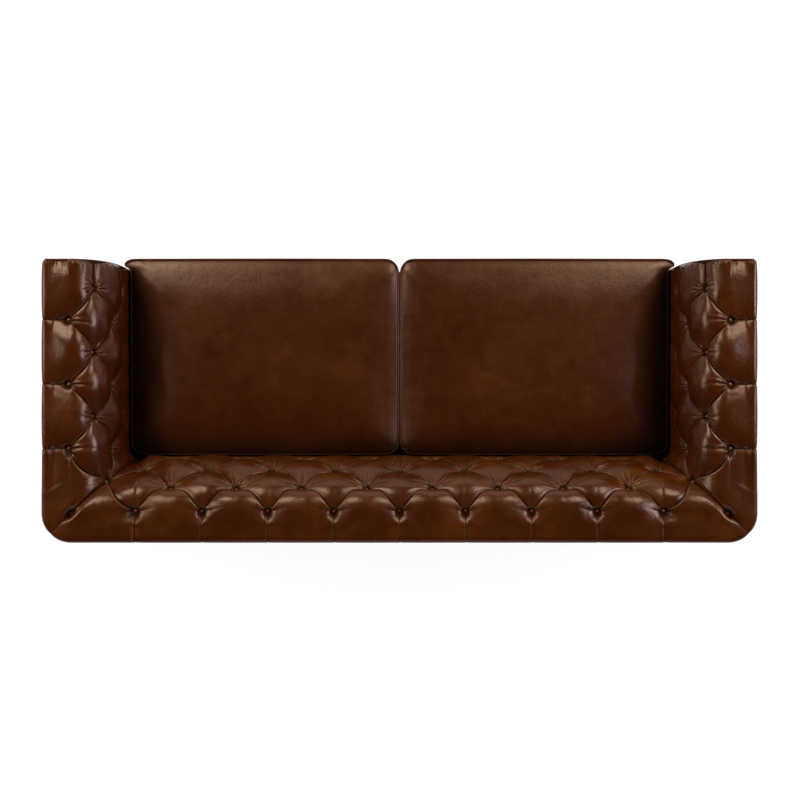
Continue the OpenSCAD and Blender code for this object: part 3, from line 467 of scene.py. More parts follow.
def dress(piece, material, stands_for=(), body="sofa_body"):
    """Gives a piece its finish and its body, and hides the nodes that it stands for."""
    piece.data.materials.clear()
    piece.data.materials.append(material)
    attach(piece, body)
    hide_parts(*stands_for)
    print(piece.name + ":", len(piece.data.polygons), "faces")
    return piece


# %% [markdown]
# ## The tufted pads
#
# Deep tufting starts as a flat grid. The foam is marked with staggered rows of points, twine
# pulls the leather down at each, and the leather folds into pleats along the diagonals. We build
# it in the same order. Every point of a pad has two numbers: c counts columns of buttons along
# the pad, and r counts rows across it. A button sits where c + r is odd, so every pleat is a
# diagonal, where c - r or c + r is odd.
#
# First comes the smooth shape under the tufts: a profile that rises over the soft outer edge,
# runs flat across the top and rolls down to the seat. It is walked as a chain of straight runs
# and arcs and read back by distance.

# %% The profile of a pad
SIDE_X, BACK_Y, TOP_Z = 1145.0, 466.0, 740.0
EDGE_DROP = 45.0
# The outer edge rises straight by EDGE_FLAT and turns over a radius of EDGE_R
EDGE_FLAT, EDGE_R = 29.0, 16.0
PAD_DROP = 440.0
ROW_PITCH = 98.0
LAST_COL, MITRE_COL, FRONT_COL = 8, 9, 3
LAST_ROW, END_ROW = 5, 6
CORNER_R, CORNER_RUN = 95.0, 301.0
BACK_PITCH, ARM_PITCH = 105.5, 103.0
ARM_EDGE_COL = 2.243
MITRE_SLIDE = 0.45
# Pieces of a profile: (0, length) is straight, (radius, degrees) turns
CHAINS = {
    True: [(0, EDGE_FLAT), (EDGE_R, 90), (0, 70), (110, 62), (300, 27), (0, 400)],
    False: [(0, EDGE_FLAT), (EDGE_R, 90), (0, 85), (110, 55), (400, 25), (0, 20), (150, 10),
            (0, 400)],
}


def walk(chain):
    """Rows of distance, in, down and slope along a chain."""
    rows = [(0.0, 0.0, EDGE_DROP, -math.pi / 2)]
    for radius, amount in chain:
        length = amount if radius == 0 else radius * math.radians(amount)
        count = max(1, int(length / 0.5))
        step = length / count
        turn = 0 if radius == 0 else step / radius
        for _ in range(count):
            s, d, h, a = rows[-1]
            rows.append((s + step, d + step * math.cos(a + turn / 2),
                         h + step * math.sin(a + turn / 2), a + turn))
    return np.array(rows).T


TABLES = {arm: walk(chain) for arm, chain in CHAINS.items()}
ROW_ONE = {arm: EDGE_FLAT + EDGE_R * math.pi / 2 + chain[2][1] for arm, chain in CHAINS.items()}
FULL_RUN = {arm: float(t[0][np.argmax(t[2] >= PAD_DROP)]) for arm, t in TABLES.items()}


def profile(arm, r):
    """In, down and slope at row r."""
    one, full = ROW_ONE[arm], FULL_RUN[arm]
    five = one + (LAST_ROW - 1) * ROW_PITCH
    s = np.where(r < 1, one * r, np.where(r <= LAST_ROW, one + (r - 1) * ROW_PITCH,
                                          five + (r - LAST_ROW) * (full - five)))
    table = TABLES[arm]
    return np.array([np.interp(s, table[0], row) for row in table[1:]])


def ramp(x):
    """A smooth step from 0 to 1."""
    t = np.clip(x, 0, 1)
    return t * t * (3 - 2 * t)


def swell(arm, c, r):
    """The profile, blended to the mean of arm and back at the mitre, where row two lies lower."""
    turned = ramp(np.abs(c) - LAST_COL)
    r = r + MITRE_SLIDE * turned * ramp(r - 1) * (1 - ramp((r - 2) / 2.2))
    return profile(arm, r) * (1 - 0.5 * turned) + profile(not arm, r) * 0.5 * turned


def corner_length(d):
    """Distance along the pad from the last column to the mitre, d in from the outside."""
    round_part = np.maximum(CORNER_R - d, 0) * math.pi / 4
    return np.where(d < CORNER_R, CORNER_RUN - CORNER_R + round_part, CORNER_RUN - d)


def bend(d, share):
    """Distances from the rear and side, a share of the way round the corner."""
    s = share * corner_length(d)
    over = s - (CORNER_RUN - CORNER_R)
    radius = np.maximum(CORNER_R - d, 1e-6)
    angle = np.clip(over / radius, 0, math.pi / 2)
    curved = (over > 0) & (d < CORNER_R)
    return (np.where(curved, CORNER_R - radius * np.sin(angle), CORNER_RUN - s),
            np.where(curved, CORNER_R - radius * np.cos(angle), d))


def place(arm, c, d, h):
    """Point in the room from a column and the distances in and down."""
    along, inward = bend(d, np.abs(c) - LAST_COL)
    if arm:
        plain = c <= LAST_COL
        along = np.where(plain, CORNER_RUN + (LAST_COL - c) * ARM_PITCH, along)
        inward = np.where(plain, d, inward)
        return np.stack([SIDE_X - inward, BACK_Y - along, TOP_Z - h], -1)
    plain = np.abs(c) <= LAST_COL
    along = np.where(plain, SIDE_X - BACK_PITCH * np.abs(c), along)
    inward = np.where(plain, d, inward)
    return np.stack([np.sign(c) * (SIDE_X - along), BACK_Y - inward, TOP_Z - h], -1)


print("pad profiles run", {("arm" if k else "back"): round(v) for k, v in FULL_RUN.items()}, "mm")

# %% [markdown]
# Next comes the relief. Between four buttons the leather swells into a diamond pillow. On each
# pleat the pillow nearer the top folds over the one below it, so one side of the line is a round
# lip and the other dives under it. Straight pleats run from the first row out over the edge,
# where the leather has no more buttons to hold it.
#
# Real pillows differ a little. A hash of the pillow's place gives each its own fullness and each
# pleat its own depth, and it is the same at every run.

# %% The relief of the tufting
TUFT_DEPTH = 20.0
PLEAT_UNIT = 72.0
GATHER = 1.4
FULLNESS = 7.0
# On the mitre, button one is shallow. Button two is shallow too, and sits higher and flatter
MITRE_DEEP, MITRE_BLEND = 0.6, 1.5
MITRE_SHALLOW, MITRE_RISE, MITRE_LEAN = 0.35, 5.0, 0.45
MITRE_REACH, MITRE_CLEAR, MITRE_LOW = 110, 40, 4
# How deep the leather sinks between the straight pleats, and its share at the outer edge
OUTER_BELLY, BELLY_SHARE = {True: 17.0, False: 2.5}, 0.12
# Row, out from row one, where the relief starts to fade in
EDGE_START = {True: 0.5, False: 0.68}
# Share of the relief that an arm keeps at its front edge
FRONT_SHARE = 0.12
# A lip's height, roundness and reach, and a dive's depth and reach
LIP_HIGH, LIP_ROUND, LIP_REACH = 2.4, 1.2, 9
DIVE_DEEP, DIVE_REACH = 2.2, 5
SLIDE_TOP, SLIDE_MOST = 0.07, 0.2


def nearest_odd(t):
    """The odd number that the pleat nearest to t lies on."""
    return 2 * np.floor(t / 2) + 1


def nearest_even(t):
    """The even number that the straight pleat nearest to t lies on."""
    return 2 * np.round(t / 2)


def gather(t):
    """Draws grid lines towards the pleats, so they are finest where the leather folds."""
    e = t - nearest_odd(t)
    return nearest_odd(t) + np.sign(e) * np.abs(e) ** GATHER


def chance(i, j, seed):
    """A repeatable number from 0 to 1 for a pillow or a pleat."""
    v = np.sin(i * 12.9898 + j * 78.233 + seed * 37.719) * 43758.5453
    return v - np.floor(v)


def lip(u):
    """Height across a pleat: a round lip on the upper side, a dive on the lower one."""
    up = np.maximum(u, 0)
    over = LIP_HIGH * (1 - np.exp(-up / LIP_ROUND)) * np.exp(-up / LIP_REACH)
    under = -DIVE_DEEP * np.exp(np.minimum(u, 0) / DIVE_REACH)
    return np.where(u > 0, over, under)


def row_depth(c, r):
    """How deep a tuft goes: less down the inside, and less at the mitre's second button."""
    near = np.exp(-((np.abs(c) - MITRE_COL) ** 2 + (r - 2) ** 2) / 0.4)
    deep = np.where(r < 3, 1, np.maximum(0.6, 1 - 0.3 * (r - 3)))
    return TUFT_DEPTH * deep * (1 - MITRE_SHALLOW * near)


def relief(arm, c, r):
    """Lift off the smooth shape, slide down, painted shade, and rub with painted highlight, per
    point.
    """
    col = np.maximum(c, FRONT_COL) if arm else c
    row = np.clip(r, 1, LAST_ROW)
    s1 = (col - row) - nearest_odd(col - row)
    s2 = (col + row) - nearest_odd(col + row)
    a, b = np.sin(np.abs(s1) * math.pi / 2), np.sin(np.abs(s2) * math.pi / 2)
    start = EDGE_START[arm]
    edge = np.where(r < 1, ramp((r - start) / (1 - start)), np.where(r > LAST_ROW, END_ROW - r, 1))
    if arm:
        from_front = ramp((c - ARM_EDGE_COL) / (FRONT_COL - ARM_EDGE_COL))
        edge = edge * (FRONT_SHARE + (1 - FRONT_SHARE) * from_front)
    valley = 1 - 0.55 * np.sqrt(a * b) - 0.45 * np.maximum(a, b) ** 0.8
    valley = np.where(r < 1, np.maximum(valley, 0) ** (1 + 1.5 * (1 - np.clip(r, 0, 1))), valley)
    lift = -row_depth(c, r) * valley * edge
    full = chance(np.round((col - row) / 2), np.round((col + row) / 2), 1)
    lift += FULLNESS * (0.3 + full) * (a * b) ** 0.7 * edge * np.where(r > 3.4, 0.4, 1)
    # Painted shade, deepest in the valleys between pillows
    painted_shade = 0.42 * np.maximum(valley, 0) ** 3 * edge
    rub_and_highlight = np.zeros_like(lift)
    for s, other, side, seed in ((s1, s2, 1, 2), (s2, s1, -1, 3)):
        u = side * s * PLEAT_UNIT
        along = np.sin(np.abs(other) * math.pi / 2) ** 0.5
        line = nearest_odd(col - row) if seed == 2 else nearest_odd(col + row)
        part = np.floor((col + row) / 2) if seed == 2 else np.floor((col - row) / 2)
        tight = (0.7 + 0.6 * chance(line, part, seed)) * along * edge
        lift += tight * lip(u)
        # Painted shade in each pleat's dive, and a light line on its lip, part rub, part painted
        # highlight
        painted_shade = np.maximum(painted_shade, tight * np.exp(-(u / 2.0) ** 2))
        rub_and_highlight = np.maximum(rub_and_highlight, tight * np.exp(-((u - 3.2) / 2.2) ** 2))
    # Straight pleats beyond the outer rows, and out to the front of an arm
    pitch = ARM_PITCH if arm else BACK_PITCH
    runs = [((r < 1) | (r > LAST_ROW), (c - nearest_even(c)) * pitch, np.abs(c) < 8.5)]
    if arm:
        runs.append((c < FRONT_COL, (r - nearest_even(r)) * ROW_PITCH, (r > 1) & (r < 5.5)))
    for active, u, allowed in runs:
        weight = np.where(active & allowed, 1.0, 0.0)
        from_middle = np.clip(1 - np.abs(u) / pitch, 0, 1)
        belly = OUTER_BELLY[arm] * (BELLY_SHARE + (1 - BELLY_SHARE) * ramp((r - 0.40) / 0.25))
        lift -= weight * belly * from_middle ** 2.3 * (1 - np.abs(edge))
        sharp = 0.5 if arm else 0.3
        lift += weight * (sharp * lip(u) - 2 * sharp * np.exp(-(u / 5) ** 2))
        # The straight pleats get the same painted shade and light line
        painted_shade = np.maximum(painted_shade, 0.85 * weight * np.exp(-(u / 1.8) ** 2))
        rub_and_highlight = np.maximum(rub_and_highlight, 0.6 * weight * np.exp(-((u - 3.0) / 1.8) ** 2))
    slide = np.where(r < 2, SLIDE_TOP, SLIDE_MOST) if arm else SLIDE_MOST * ramp((r - 0.6) / 0.6)
    slide = slide * np.where((np.abs(c) > LAST_COL) & (r < 2), 0.3, 1)
    slide = slide * (1 - (1 - a * a) * (1 - b * b)) * edge
    return lift, slide, painted_shade, rub_and_highlight


def mitre(c, r, d):
    """Dip, painted shade and distance from the pleat across a rear corner, where the two pads
    meet.
    """
    u = (MITRE_COL - np.abs(c)) * corner_length(d)
    outside = 0.08 + (MITRE_DEEP - 0.08) * ramp((r - 0.45) / 0.55) ** 1.5
    between = MITRE_DEEP + (1 - MITRE_DEEP) * ramp(r - 1)
    between = between - 0.45 * np.sin(math.pi * np.clip(r - 1, 0, 1))
    inside = 1 - 0.75 * ramp((r - 2) / 0.4)
    along = np.where(r < 1, outside, np.where(r <= 2, between, inside))
    across = 0.4 * np.exp(-u / 24) + 0.6 * np.exp(-u / 5)
    return -row_depth(c, r) * along * across, np.exp(-(u / 2.5) ** 2), u


# %% [markdown]
# Round each button the leather bunches up into a collar and small wrinkles fan out from it. They
# point towards the seat, because that is where the spare leather lies on a roll. On the arms they
# show on both sides.

# %% Collars and wrinkles at the buttons
WELL_R, WELL_DEPTH, WELL_SHADE_R = 12.0, 8.0, 14
COLLAR_HIGH, COLLAR_AT, COLLAR_WIDE = 0.8, 24, 9
# A wrinkle's half width at the button, how much it widens per millimetre, and its two ridges
WRINKLE_WIDE, WRINKLE_SPREAD, WRINKLE_RIDGE = 1.7, 0.045, 0.85
# Its depth, with painted highlight on its ridges and painted shade in its groove
WRINKLE_DEEP, WRINKLE_HIGHLIGHT, WRINKLE_SHADE = 1.35, 0.45, 0.28
BACK_BUTTONS = [(c, r) for r in range(1, 6) for c in range(-8, 9) if (abs(c) + r) % 2 == 1]
BACK_BUTTONS += [(s * MITRE_COL, r) for s in (-1, 1) for r in (1, 2)]
ARM_BUTTONS = [(c, r) for r in range(1, 6) for c in range(3, 9) if (c + r) % 2 == 1]
print("buttons:", len(BACK_BUTTONS), "on the back and", len(ARM_BUTTONS), "on each arm")


def wrinkle_rays(arm, cb, rb, side):
    """Angle from the downward direction, length and depth of each wrinkle at a button."""
    def draw(k, low, high):
        return low + (high - low) * float(chance(cb * 3.1 + side, rb * 1.7 + k, 7))

    if arm and rb == 1:
        return [(draw(1, -8, 8), draw(2, 76, 92), draw(3, 3.2, 4.2)),
                (draw(4, 18, 34), draw(5, 34, 50), draw(6, 1.6, 2.6)),
                (draw(7, -36, -20), draw(8, 32, 46), draw(9, 1.4, 2.4))]
    if arm:
        rays = [(t + draw(k, -6, 6), draw(k + 10, 34, 62), draw(k + 20, 2.0, 3.8))
                for k, t in enumerate((-44, -22, 0, 22, 44))]
        return rays + [(t + draw(k, -6, 6), draw(k + 30, 30, 52), draw(k + 40, 1.8, 3.4))
                       for k, t in enumerate((140, 160, 180, 202, 222))]
    if rb == 1:
        return [(t + draw(k, -8, 8), draw(k + 10, 24, 40), draw(k + 20, 0.9, 1.8))
                for k, t in enumerate((-34, 2, 36))]
    return [(t + draw(k, -5, 5), draw(k + 10, 40, 74), draw(k + 20, 2.2, 4.2))
            for k, t in enumerate((-72, -54, -36, -18, 0, 18, 36, 54, 72))]


def ripple(x, y, size, seed):
    """Smooth, repeatable unevenness from -1 to 1 with bumps of about one size."""
    i, j = np.floor(x / size), np.floor(y / size)
    s, t = ramp(x / size - i), ramp(y / size - j)
    near = chance(i, j, seed) * (1 - s) + chance(i + 1, j, seed) * s
    far = chance(i, j + 1, seed) * (1 - s) + chance(i + 1, j + 1, seed) * s
    return 2 * (near * (1 - t) + far * t) - 1


def gather_at_buttons(arm, c, r, d, lift, painted_shade, rub_and_highlight, side):
    """Adds button collars and wrinkles; paints shade in wells and grooves, highlight on ridges."""
    pitch = ARM_PITCH if arm else BACK_PITCH
    buttons = ARM_BUTTONS + [(MITRE_COL, 1), (MITRE_COL, 2)] if arm else BACK_BUTTONS
    for cb, rb in buttons:
        near = (np.abs(c - cb) < 0.95) & (np.abs(r - rb) < 0.95)
        scale = corner_length(d[near]) if abs(cb) == MITRE_COL else pitch
        x = (c[near] - cb) * scale
        y = (r[near] - rb) * ROW_PITCH
        away = np.hypot(x, y)
        more = COLLAR_HIGH * np.exp(-((away - COLLAR_AT) / COLLAR_WIDE) ** 2)
        more -= WELL_DEPTH * np.exp(-(away / WELL_R) ** 4)
        for angle, length, depth in wrinkle_rays(arm, cb, rb, side):
            t = math.radians(angle)
            forward = x * math.sin(t) + y * math.cos(t)
            across = x * math.cos(t) - y * math.sin(t)
            width = WRINKLE_WIDE + WRINKLE_SPREAD * np.maximum(forward, 0)
            fade = np.clip(forward / 9, 0, 1) * np.clip(1 - forward / length, 0, 1) ** 1.1
            depth = depth * fade
            ridge = np.exp(-((np.abs(across) - 2.0 * width) / width) ** 2)
            groove = np.exp(-(across / width) ** 2)
            more += WRINKLE_DEEP * depth * (WRINKLE_RIDGE * ridge - groove)
            # Painted highlight on the ridges and painted shade in the groove
            rub_and_highlight[near] = np.maximum(rub_and_highlight[near], WRINKLE_HIGHLIGHT * depth * ridge)
            painted_shade[near] = np.maximum(painted_shade[near], WRINKLE_SHADE * depth * groove)
        lift[near] += more
        # Painted shade in the well round the button
        painted_shade[near] = np.maximum(painted_shade[near], np.exp(-(away / WELL_SHADE_R) ** 4))
    return lift, painted_shade, rub_and_highlight


# %% [markdown]
# The leather of an arm does not stop at its front edge. It turns over it and is tacked behind the
# facing, with small puckers where the curve takes up the slack. Extra columns of points go round
# that edge.
#
# The pad is closed underneath with a plain, coarse sheet where it meets the foam. Fine and coarse
# edges are sewn together with triangles, so the pad is one closed skin.

# %% Build a pad
CELLS = 42
COVER_T, WRAP_T = 30.0, 4.0
# Steps up the straight part of the outer edge, and the run of its round part
EDGE_STEPS, EDGE_ARC = (0, 1, 2.2, 4, 7, 11, 16, 22.5), 25.1
TURN_R = 12.0
PUCKERS = (34, 61, 84, 112, 138, 171, 205, 236, 268, 300, 341)
PUCKER_WIDE, PUCKER_REACH = 4.5, 13
# Height and size of two sorts of unevenness
RIPPLES = ((0.5, 36), (0.12, 13))


def pad_columns(arm):
    """Column, forward step and inward step of each line of points along a pad."""
    last = np.arange(1, 5) / 5 / CELLS
    if not arm:
        inner = np.arange(-MITRE_COL * CELLS, MITRE_COL * CELLS + 1) / CELLS
        c = np.sort(np.concatenate([inner, MITRE_COL - last, last - MITRE_COL]))
        return c, np.zeros_like(c), np.zeros_like(c)
    inner = np.arange(FRONT_COL * CELLS, MITRE_COL * CELLS + 1) / CELLS
    front = np.linspace(ARM_EDGE_COL, FRONT_COL, int(0.75 * CELLS) + 1)[:-1]
    c = np.sort(np.concatenate([front, inner, MITRE_COL - last]))
    turn = np.linspace(math.pi / 2, 0, 7)[:-1]
    forward = np.concatenate([[TURN_R, TURN_R], TURN_R * np.sin(turn)])
    inward = np.concatenate([[TURN_R + 3.5, TURN_R + 2], TURN_R * (1 - np.cos(turn))])
    edge = np.full(len(forward), ARM_EDGE_COL)
    zeros = np.zeros_like(c)
    return (np.concatenate([edge, c]), np.concatenate([forward, zeros]),
            np.concatenate([inward, zeros]))


def pad_rows(arm):
    """Rows from the outer edge over the top and down to the seat."""
    one = ROW_ONE[arm]
    flat_steps = max(6, int(CELLS * 0.75))
    wrap = np.array(EDGE_STEPS)
    arc = EDGE_FLAT + np.linspace(0, EDGE_ARC, 8)
    flat = np.linspace(EDGE_FLAT + EDGE_ARC, one, flat_steps + 1)[1:-1]
    low = LAST_ROW + np.linspace(0, 1, CELLS // 2 + 1)[1:]
    return np.concatenate([wrap / one, arc / one, flat / one,
                           1 + np.arange(4 * CELLS + 1) / CELLS, low])


def sew(fine, coarse, flip):
    """Triangles between two lines of points that run side by side."""
    faces, i, j = [], 0, 0
    while i < len(fine) - 1 or j < len(coarse) - 1:
        step_fine = j == len(coarse) - 1 or (
            i < len(fine) - 1 and (i + 1) * (len(coarse) - 1) <= (j + 1) * (len(fine) - 1))
        third = fine[i + 1] if step_fine else coarse[j + 1]
        face = (fine[i], coarse[j], third)
        faces.append(face if flip else face[::-1])
        i, j = (i + 1, j) if step_fine else (i, j + 1)
    return faces


def grid_faces(rows, cols, base, flip, along=None):
    """Two triangles per cell; along says which way each cell is cut."""
    i, j = np.meshgrid(np.arange(rows - 1), np.arange(cols - 1), indexing="ij")
    p = base + i * cols + j
    q, s, t = p + 1, p + cols, p + cols + 1
    cut = np.ones_like(p, bool) if along is None else along
    first = np.where(cut[..., None], np.stack([p, s, t], -1), np.stack([p, s, q], -1))
    second = np.where(cut[..., None], np.stack([p, t, q], -1), np.stack([q, s, t], -1))
    faces = np.concatenate([first.reshape(-1, 3), second.reshape(-1, 3)])
    return (faces[:, ::-1] if flip else faces).tolist()


def at_cells(values):
    """Mean of the four corners of each cell."""
    return (values[:-1, :-1] + values[1:, :-1] + values[:-1, 1:] + values[1:, 1:]) / 4


def under_point(arm, c, r):
    """The underside of a pad, a cover's thickness below the smooth shape."""
    d, h, a = swell(arm, c, r)
    rising = a < 0
    down = np.where(rising, np.maximum(h, COVER_T), h + COVER_T * np.cos(a))
    inward = np.where(rising, WRAP_T + d * (1 - WRAP_T / EDGE_R), d - COVER_T * np.sin(a))
    return place(arm, c, inward, down)


def build_pad(name, arm, side):
    """One closed tufted pad. side mirrors an arm to the left."""
    cols, forward, inward = pad_columns(arm)
    rows = pad_rows(arm)
    c, r = np.meshgrid(cols, rows, indexing="ij")
    col = np.maximum(c, FRONT_COL) if arm else c
    row = np.clip(r, 1, LAST_ROW)
    minus, plus = gather(col - row), gather(col + row)
    c = (minus + plus) / 2 + (c - col)
    r = (plus - minus) / 2 + (r - row)
    s1, s2 = minus - nearest_odd(minus), plus - nearest_odd(plus)
    lift, slide, painted_shade, rub_and_highlight = relief(arm, c, r)
    r = r + slide
    d, h, a = swell(arm, c, r)
    dip, mitre_shade, gap = mitre(c, r, d)
    # Near the mitre a pillow stays under a ceiling that rises away from it
    ceiling = dip + np.where(r < 2, 0, MITRE_LOW) + MITRE_CLEAR * ramp(gap / MITRE_REACH)
    lift = -MITRE_BLEND * np.logaddexp(-lift / MITRE_BLEND, -ceiling / MITRE_BLEND)
    # Painted shade along the mitre
    painted_shade = np.maximum(painted_shade, mitre_shade * np.where(r < 2.1, 0.9, 0.5))
    lift, painted_shade, rub_and_highlight = gather_at_buttons(arm, c, r, d, lift, painted_shade, rub_and_highlight, side)
    seed = 3 * side + (1 if arm else 0)
    lift += 0.9 * np.sin(c * 2.3 + seed) * np.sin(r * 3.1 + seed) * ramp((r - 0.2) / 0.6)
    lift -= 2.0 * (1 - ramp(r * ROW_ONE[arm] / 5))
    distance = np.where(r < 1, ROW_ONE[arm] * r, ROW_ONE[arm] + (r - 1) * ROW_PITCH)
    length = c * (ARM_PITCH if arm else BACK_PITCH)
    if not arm:
        lift += 5.0 * ramp(r - 2.5)
    uneven = sum(high * ripple(length, distance, size, seed) for high, size in RIPPLES)
    lift += uneven * ramp((r - 0.2) / 0.6)
    if arm:
        behind = (c - ARM_EDGE_COL) * ARM_PITCH
        for k, s in enumerate(PUCKERS):
            depth = 1.0 + 1.6 * float(chance(k, side, 5))
            here = np.exp(-((distance - s) / PUCKER_WIDE) ** 2)
            lift -= depth * here * np.exp(-behind / PUCKER_REACH)
        lift -= inward[:, None]
    d, h = d + lift * np.sin(a), h - lift * np.cos(a)
    points = place(arm, c, d, h)
    points[..., 1] -= forward[:, None]
    m, n = len(cols), len(rows)
    along = at_cells(np.abs(s1)) < at_cells(np.abs(s2))
    faces = grid_faces(m, n, 0, False, along)
    # Underside, at every few columns and rows
    coarse_c = np.unique(np.concatenate([np.arange(0, m, CELLS // 3), [m - 1]]))
    coarse_r = np.unique(np.concatenate([np.arange(0, n, CELLS // 2), [n - 1]]))
    cc, rr = np.meshgrid(np.minimum(cols[coarse_c], MITRE_COL), rows[coarse_r], indexing="ij")
    below = under_point(arm, cc, rr)
    if arm:
        below[..., 1] -= 0.5 * forward[coarse_c][:, None]
    km, kn = len(coarse_c), len(coarse_r)
    base = m * n
    faces += grid_faces(km, kn, base, True)
    fine_index = np.arange(m * n).reshape(m, n)
    coarse_index = base + np.arange(km * kn).reshape(km, kn)
    faces += sew(fine_index[:, 0], coarse_index[:, 0], True)
    faces += sew(fine_index[:, -1], coarse_index[:, -1], False)
    faces += sew(fine_index[0, :], coarse_index[0, :], False)
    faces += sew(fine_index[-1, :], coarse_index[-1, :], True)
    everything = np.concatenate([points.reshape(-1, 3), below.reshape(-1, 3)])
    if side < 0:
        everything[:, 0] *= -1
    if side < 0 or not arm:
        faces = [f[::-1] for f in faces]
    piece = mesh_piece(name, everything, faces)
    none = np.zeros(km * kn)
    # Painted shade, and light lines that are partly rub and partly painted highlight
    paint(piece, "painted_shade", np.concatenate([np.clip(painted_shade, 0, 1).ravel(), none]))
    paint(piece, "rub_and_highlight", np.concatenate([np.clip(rub_and_highlight, 0, 1).ravel(), none]))
    return piece


for name, arm, side, node in (("tufted_back_pad", False, 1, "inside_back_cover"),
                              ("tufted_right_arm_pad", True, 1, "right_inside_arm_cover"),
                              ("tufted_left_arm_pad", True, -1, "left_inside_arm_cover")):
    dress(build_pad(name, arm, side), hide, [node])

# %% [markdown]
# ## Covered buttons
#
# A covered button is a metal shell with leather pressed round it: a low dome with a rounded rim
# and a flat back. One is modelled from a sphere: its lower half is cut away, the cut is filled and
# the rim is drawn in. Then it is copied to every place that the pattern gives, each copy turned to
# face out of the leather.

# %% Model one button and copy it
BUTTON_R, BUTTON_RISE = 8.0, 2.2


def select_only(piece):
    """Selects one object and makes it the active one."""
    bpy.ops.object.select_all(action="DESELECT")
    piece.select_set(True)
    bpy.context.view_layer.objects.active = piece


def join_pieces(name, pieces):
    """One object from several."""
    bpy.ops.object.select_all(action="DESELECT")
    for piece in pieces:
        piece.select_set(True)
    bpy.context.view_layer.objects.active = pieces[0]
    bpy.ops.object.join()
    pieces[0].name = name
    return pieces[0]


def apply_place(piece):
    """Moves an object's place, turn and size into its mesh."""
    select_only(piece)
    bpy.ops.object.transform_apply(location=True, rotation=True, scale=True)


def model_button():
    """One button at the origin, facing up."""
    bpy.ops.object.select_all(action="DESELECT")
    bpy.ops.mesh.primitive_uv_sphere_add(segments=20, ring_count=12, radius=BUTTON_R * MM)
    button = bpy.context.object
    button.scale = (1, 1, 0.5)
    apply_place(button)
    bpy.ops.object.mode_set(mode="EDIT")
    bpy.ops.mesh.select_all(action="SELECT")
    bpy.ops.mesh.bisect(plane_co=(0, 0, -1.4 * MM), plane_no=(0, 0, 1), clear_inner=True,
                        use_fill=True)
    bpy.ops.mesh.inset(thickness=1.2 * MM)
    bpy.ops.transform.translate(value=(0, 0, -0.9 * MM))
    bpy.ops.object.mode_set(mode="OBJECT")
    bpy.ops.object.shade_smooth()
    return button


def button_matrix(arm, c, r, side):
    """Where a button sits: on the leather at the bottom of its tuft, facing out."""
    c_grid, r_grid = np.array([float(c)]), np.array([float(r)])
    d, h, a = swell(arm, c_grid, r_grid)
    on_mitre = abs(c) == MITRE_COL
    deep = MITRE_DEEP if on_mitre and r == 1 else 1.0
    crowded = on_mitre and r == 2
    rise = BUTTON_RISE + MITRE_RISE * crowded
    lift = -row_depth(c_grid, r_grid) * deep - WELL_DEPTH + rise
    spot = place(arm, c_grid, d + lift * np.sin(a), h - lift * np.cos(a))[0] * MM
    lean = float(a[0]) * (MITRE_LEAN if crowded else 1)
    if arm:
        out = Vector((-math.sin(lean), 0, math.cos(lean)))
    elif on_mitre:
        part = math.sin(lean) / math.sqrt(2)
        out = Vector((-math.copysign(part, c), -part, math.cos(lean)))
    else:
        out = Vector((0, -math.sin(lean), math.cos(lean)))
    spin = float(chance(c, r, 9)) * 6.28
    matrix = Matrix.Translation(spot) @ out.to_track_quat("Z", "Y").to_matrix().to_4x4()
    matrix = matrix @ Matrix.Rotation(spin, 4, "Z")
    return Matrix.Scale(-1, 4, (1, 0, 0)) @ matrix if side < 0 else matrix


def button_set(name, arm, places, side, master):
    """One object with a copy of the button at each place."""
    copies = []
    for c, r in places:
        copy = bpy.data.objects.new(name, master.data.copy())
        copy.data.transform(button_matrix(arm, c, r, side))
        if side < 0:
            copy.data.flip_normals()
        bpy.context.scene.collection.objects.link(copy)
        copies.append(copy)
    return join_pieces(name, copies)


master_button = model_button()
for name, arm, places, side, node in (
        ("back_tuft_buttons", False, BACK_BUTTONS, 1, "back_buttons"),
        ("right_arm_tuft_buttons", True, ARM_BUTTONS, 1, "right_arm_buttons"),
        ("left_arm_tuft_buttons", True, ARM_BUTTONS, -1, "left_arm_buttons")):
    dress(button_set(name, arm, places, side, master_button), button_hide, [node])
bpy.data.objects.remove(master_button)

# %% [markdown]
# ## Seat cushions
#
# A box cushion is two panels and a band, sewn together with a welt in each seam, round a foam core
# wrapped in fibre. The seams can't stretch, so they stay where they are while the panels between
# them swell. That is just what a cloth simulation does with its seams pinned: pressure lifts the
# top into a crown and rounds the band.
#
# The grid of a panel is a square whose rings turn into rings with round corners. The front corners
# are special: between the arms the cushion is held in, and in front of them the corner is free, so
# it spreads into a small ear.

# %% Shape of a cushion before it is filled
cover_low, cover_high = (np.array(v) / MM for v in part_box("right_cushion_cover"))
CUSHION_MID = (cover_low[:2] + cover_high[:2]) / 2
CUSHION_HALF = (cover_high[:2] - cover_low[:2]) / 2
LOW_SEAM, TOP_SEAM = 311.1, 457.0
SEAM_CORNER = 40.0
FRONT_BULGE, EAR, MIDDLE_EAR, MEET = 10.0, 31.0, 1.5, 3.0
# Rise of the top: a quick rise at the seam, and a slow one to the middle
CROWN = [(12.0, 26.0), (14.0, 110.0)]
# The edge next to the arm is pressed down, more so towards the back
PRESSED = 14.0
# How far the band is drawn in, and how much more at the rear
BAND_IN, REAR_IN = 5.0, 3.3
# The part of the band that carries the zip doesn't swell
ZIP_FROM_Y, ZIP_LOW, ZIP_HIGH = 180, 345, 425
NX, NY, BAND_ROWS = ((84, 62, 14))
print("cushion:", [round(float(v)) for v in 2 * CUSHION_HALF], "mm inside its welts")


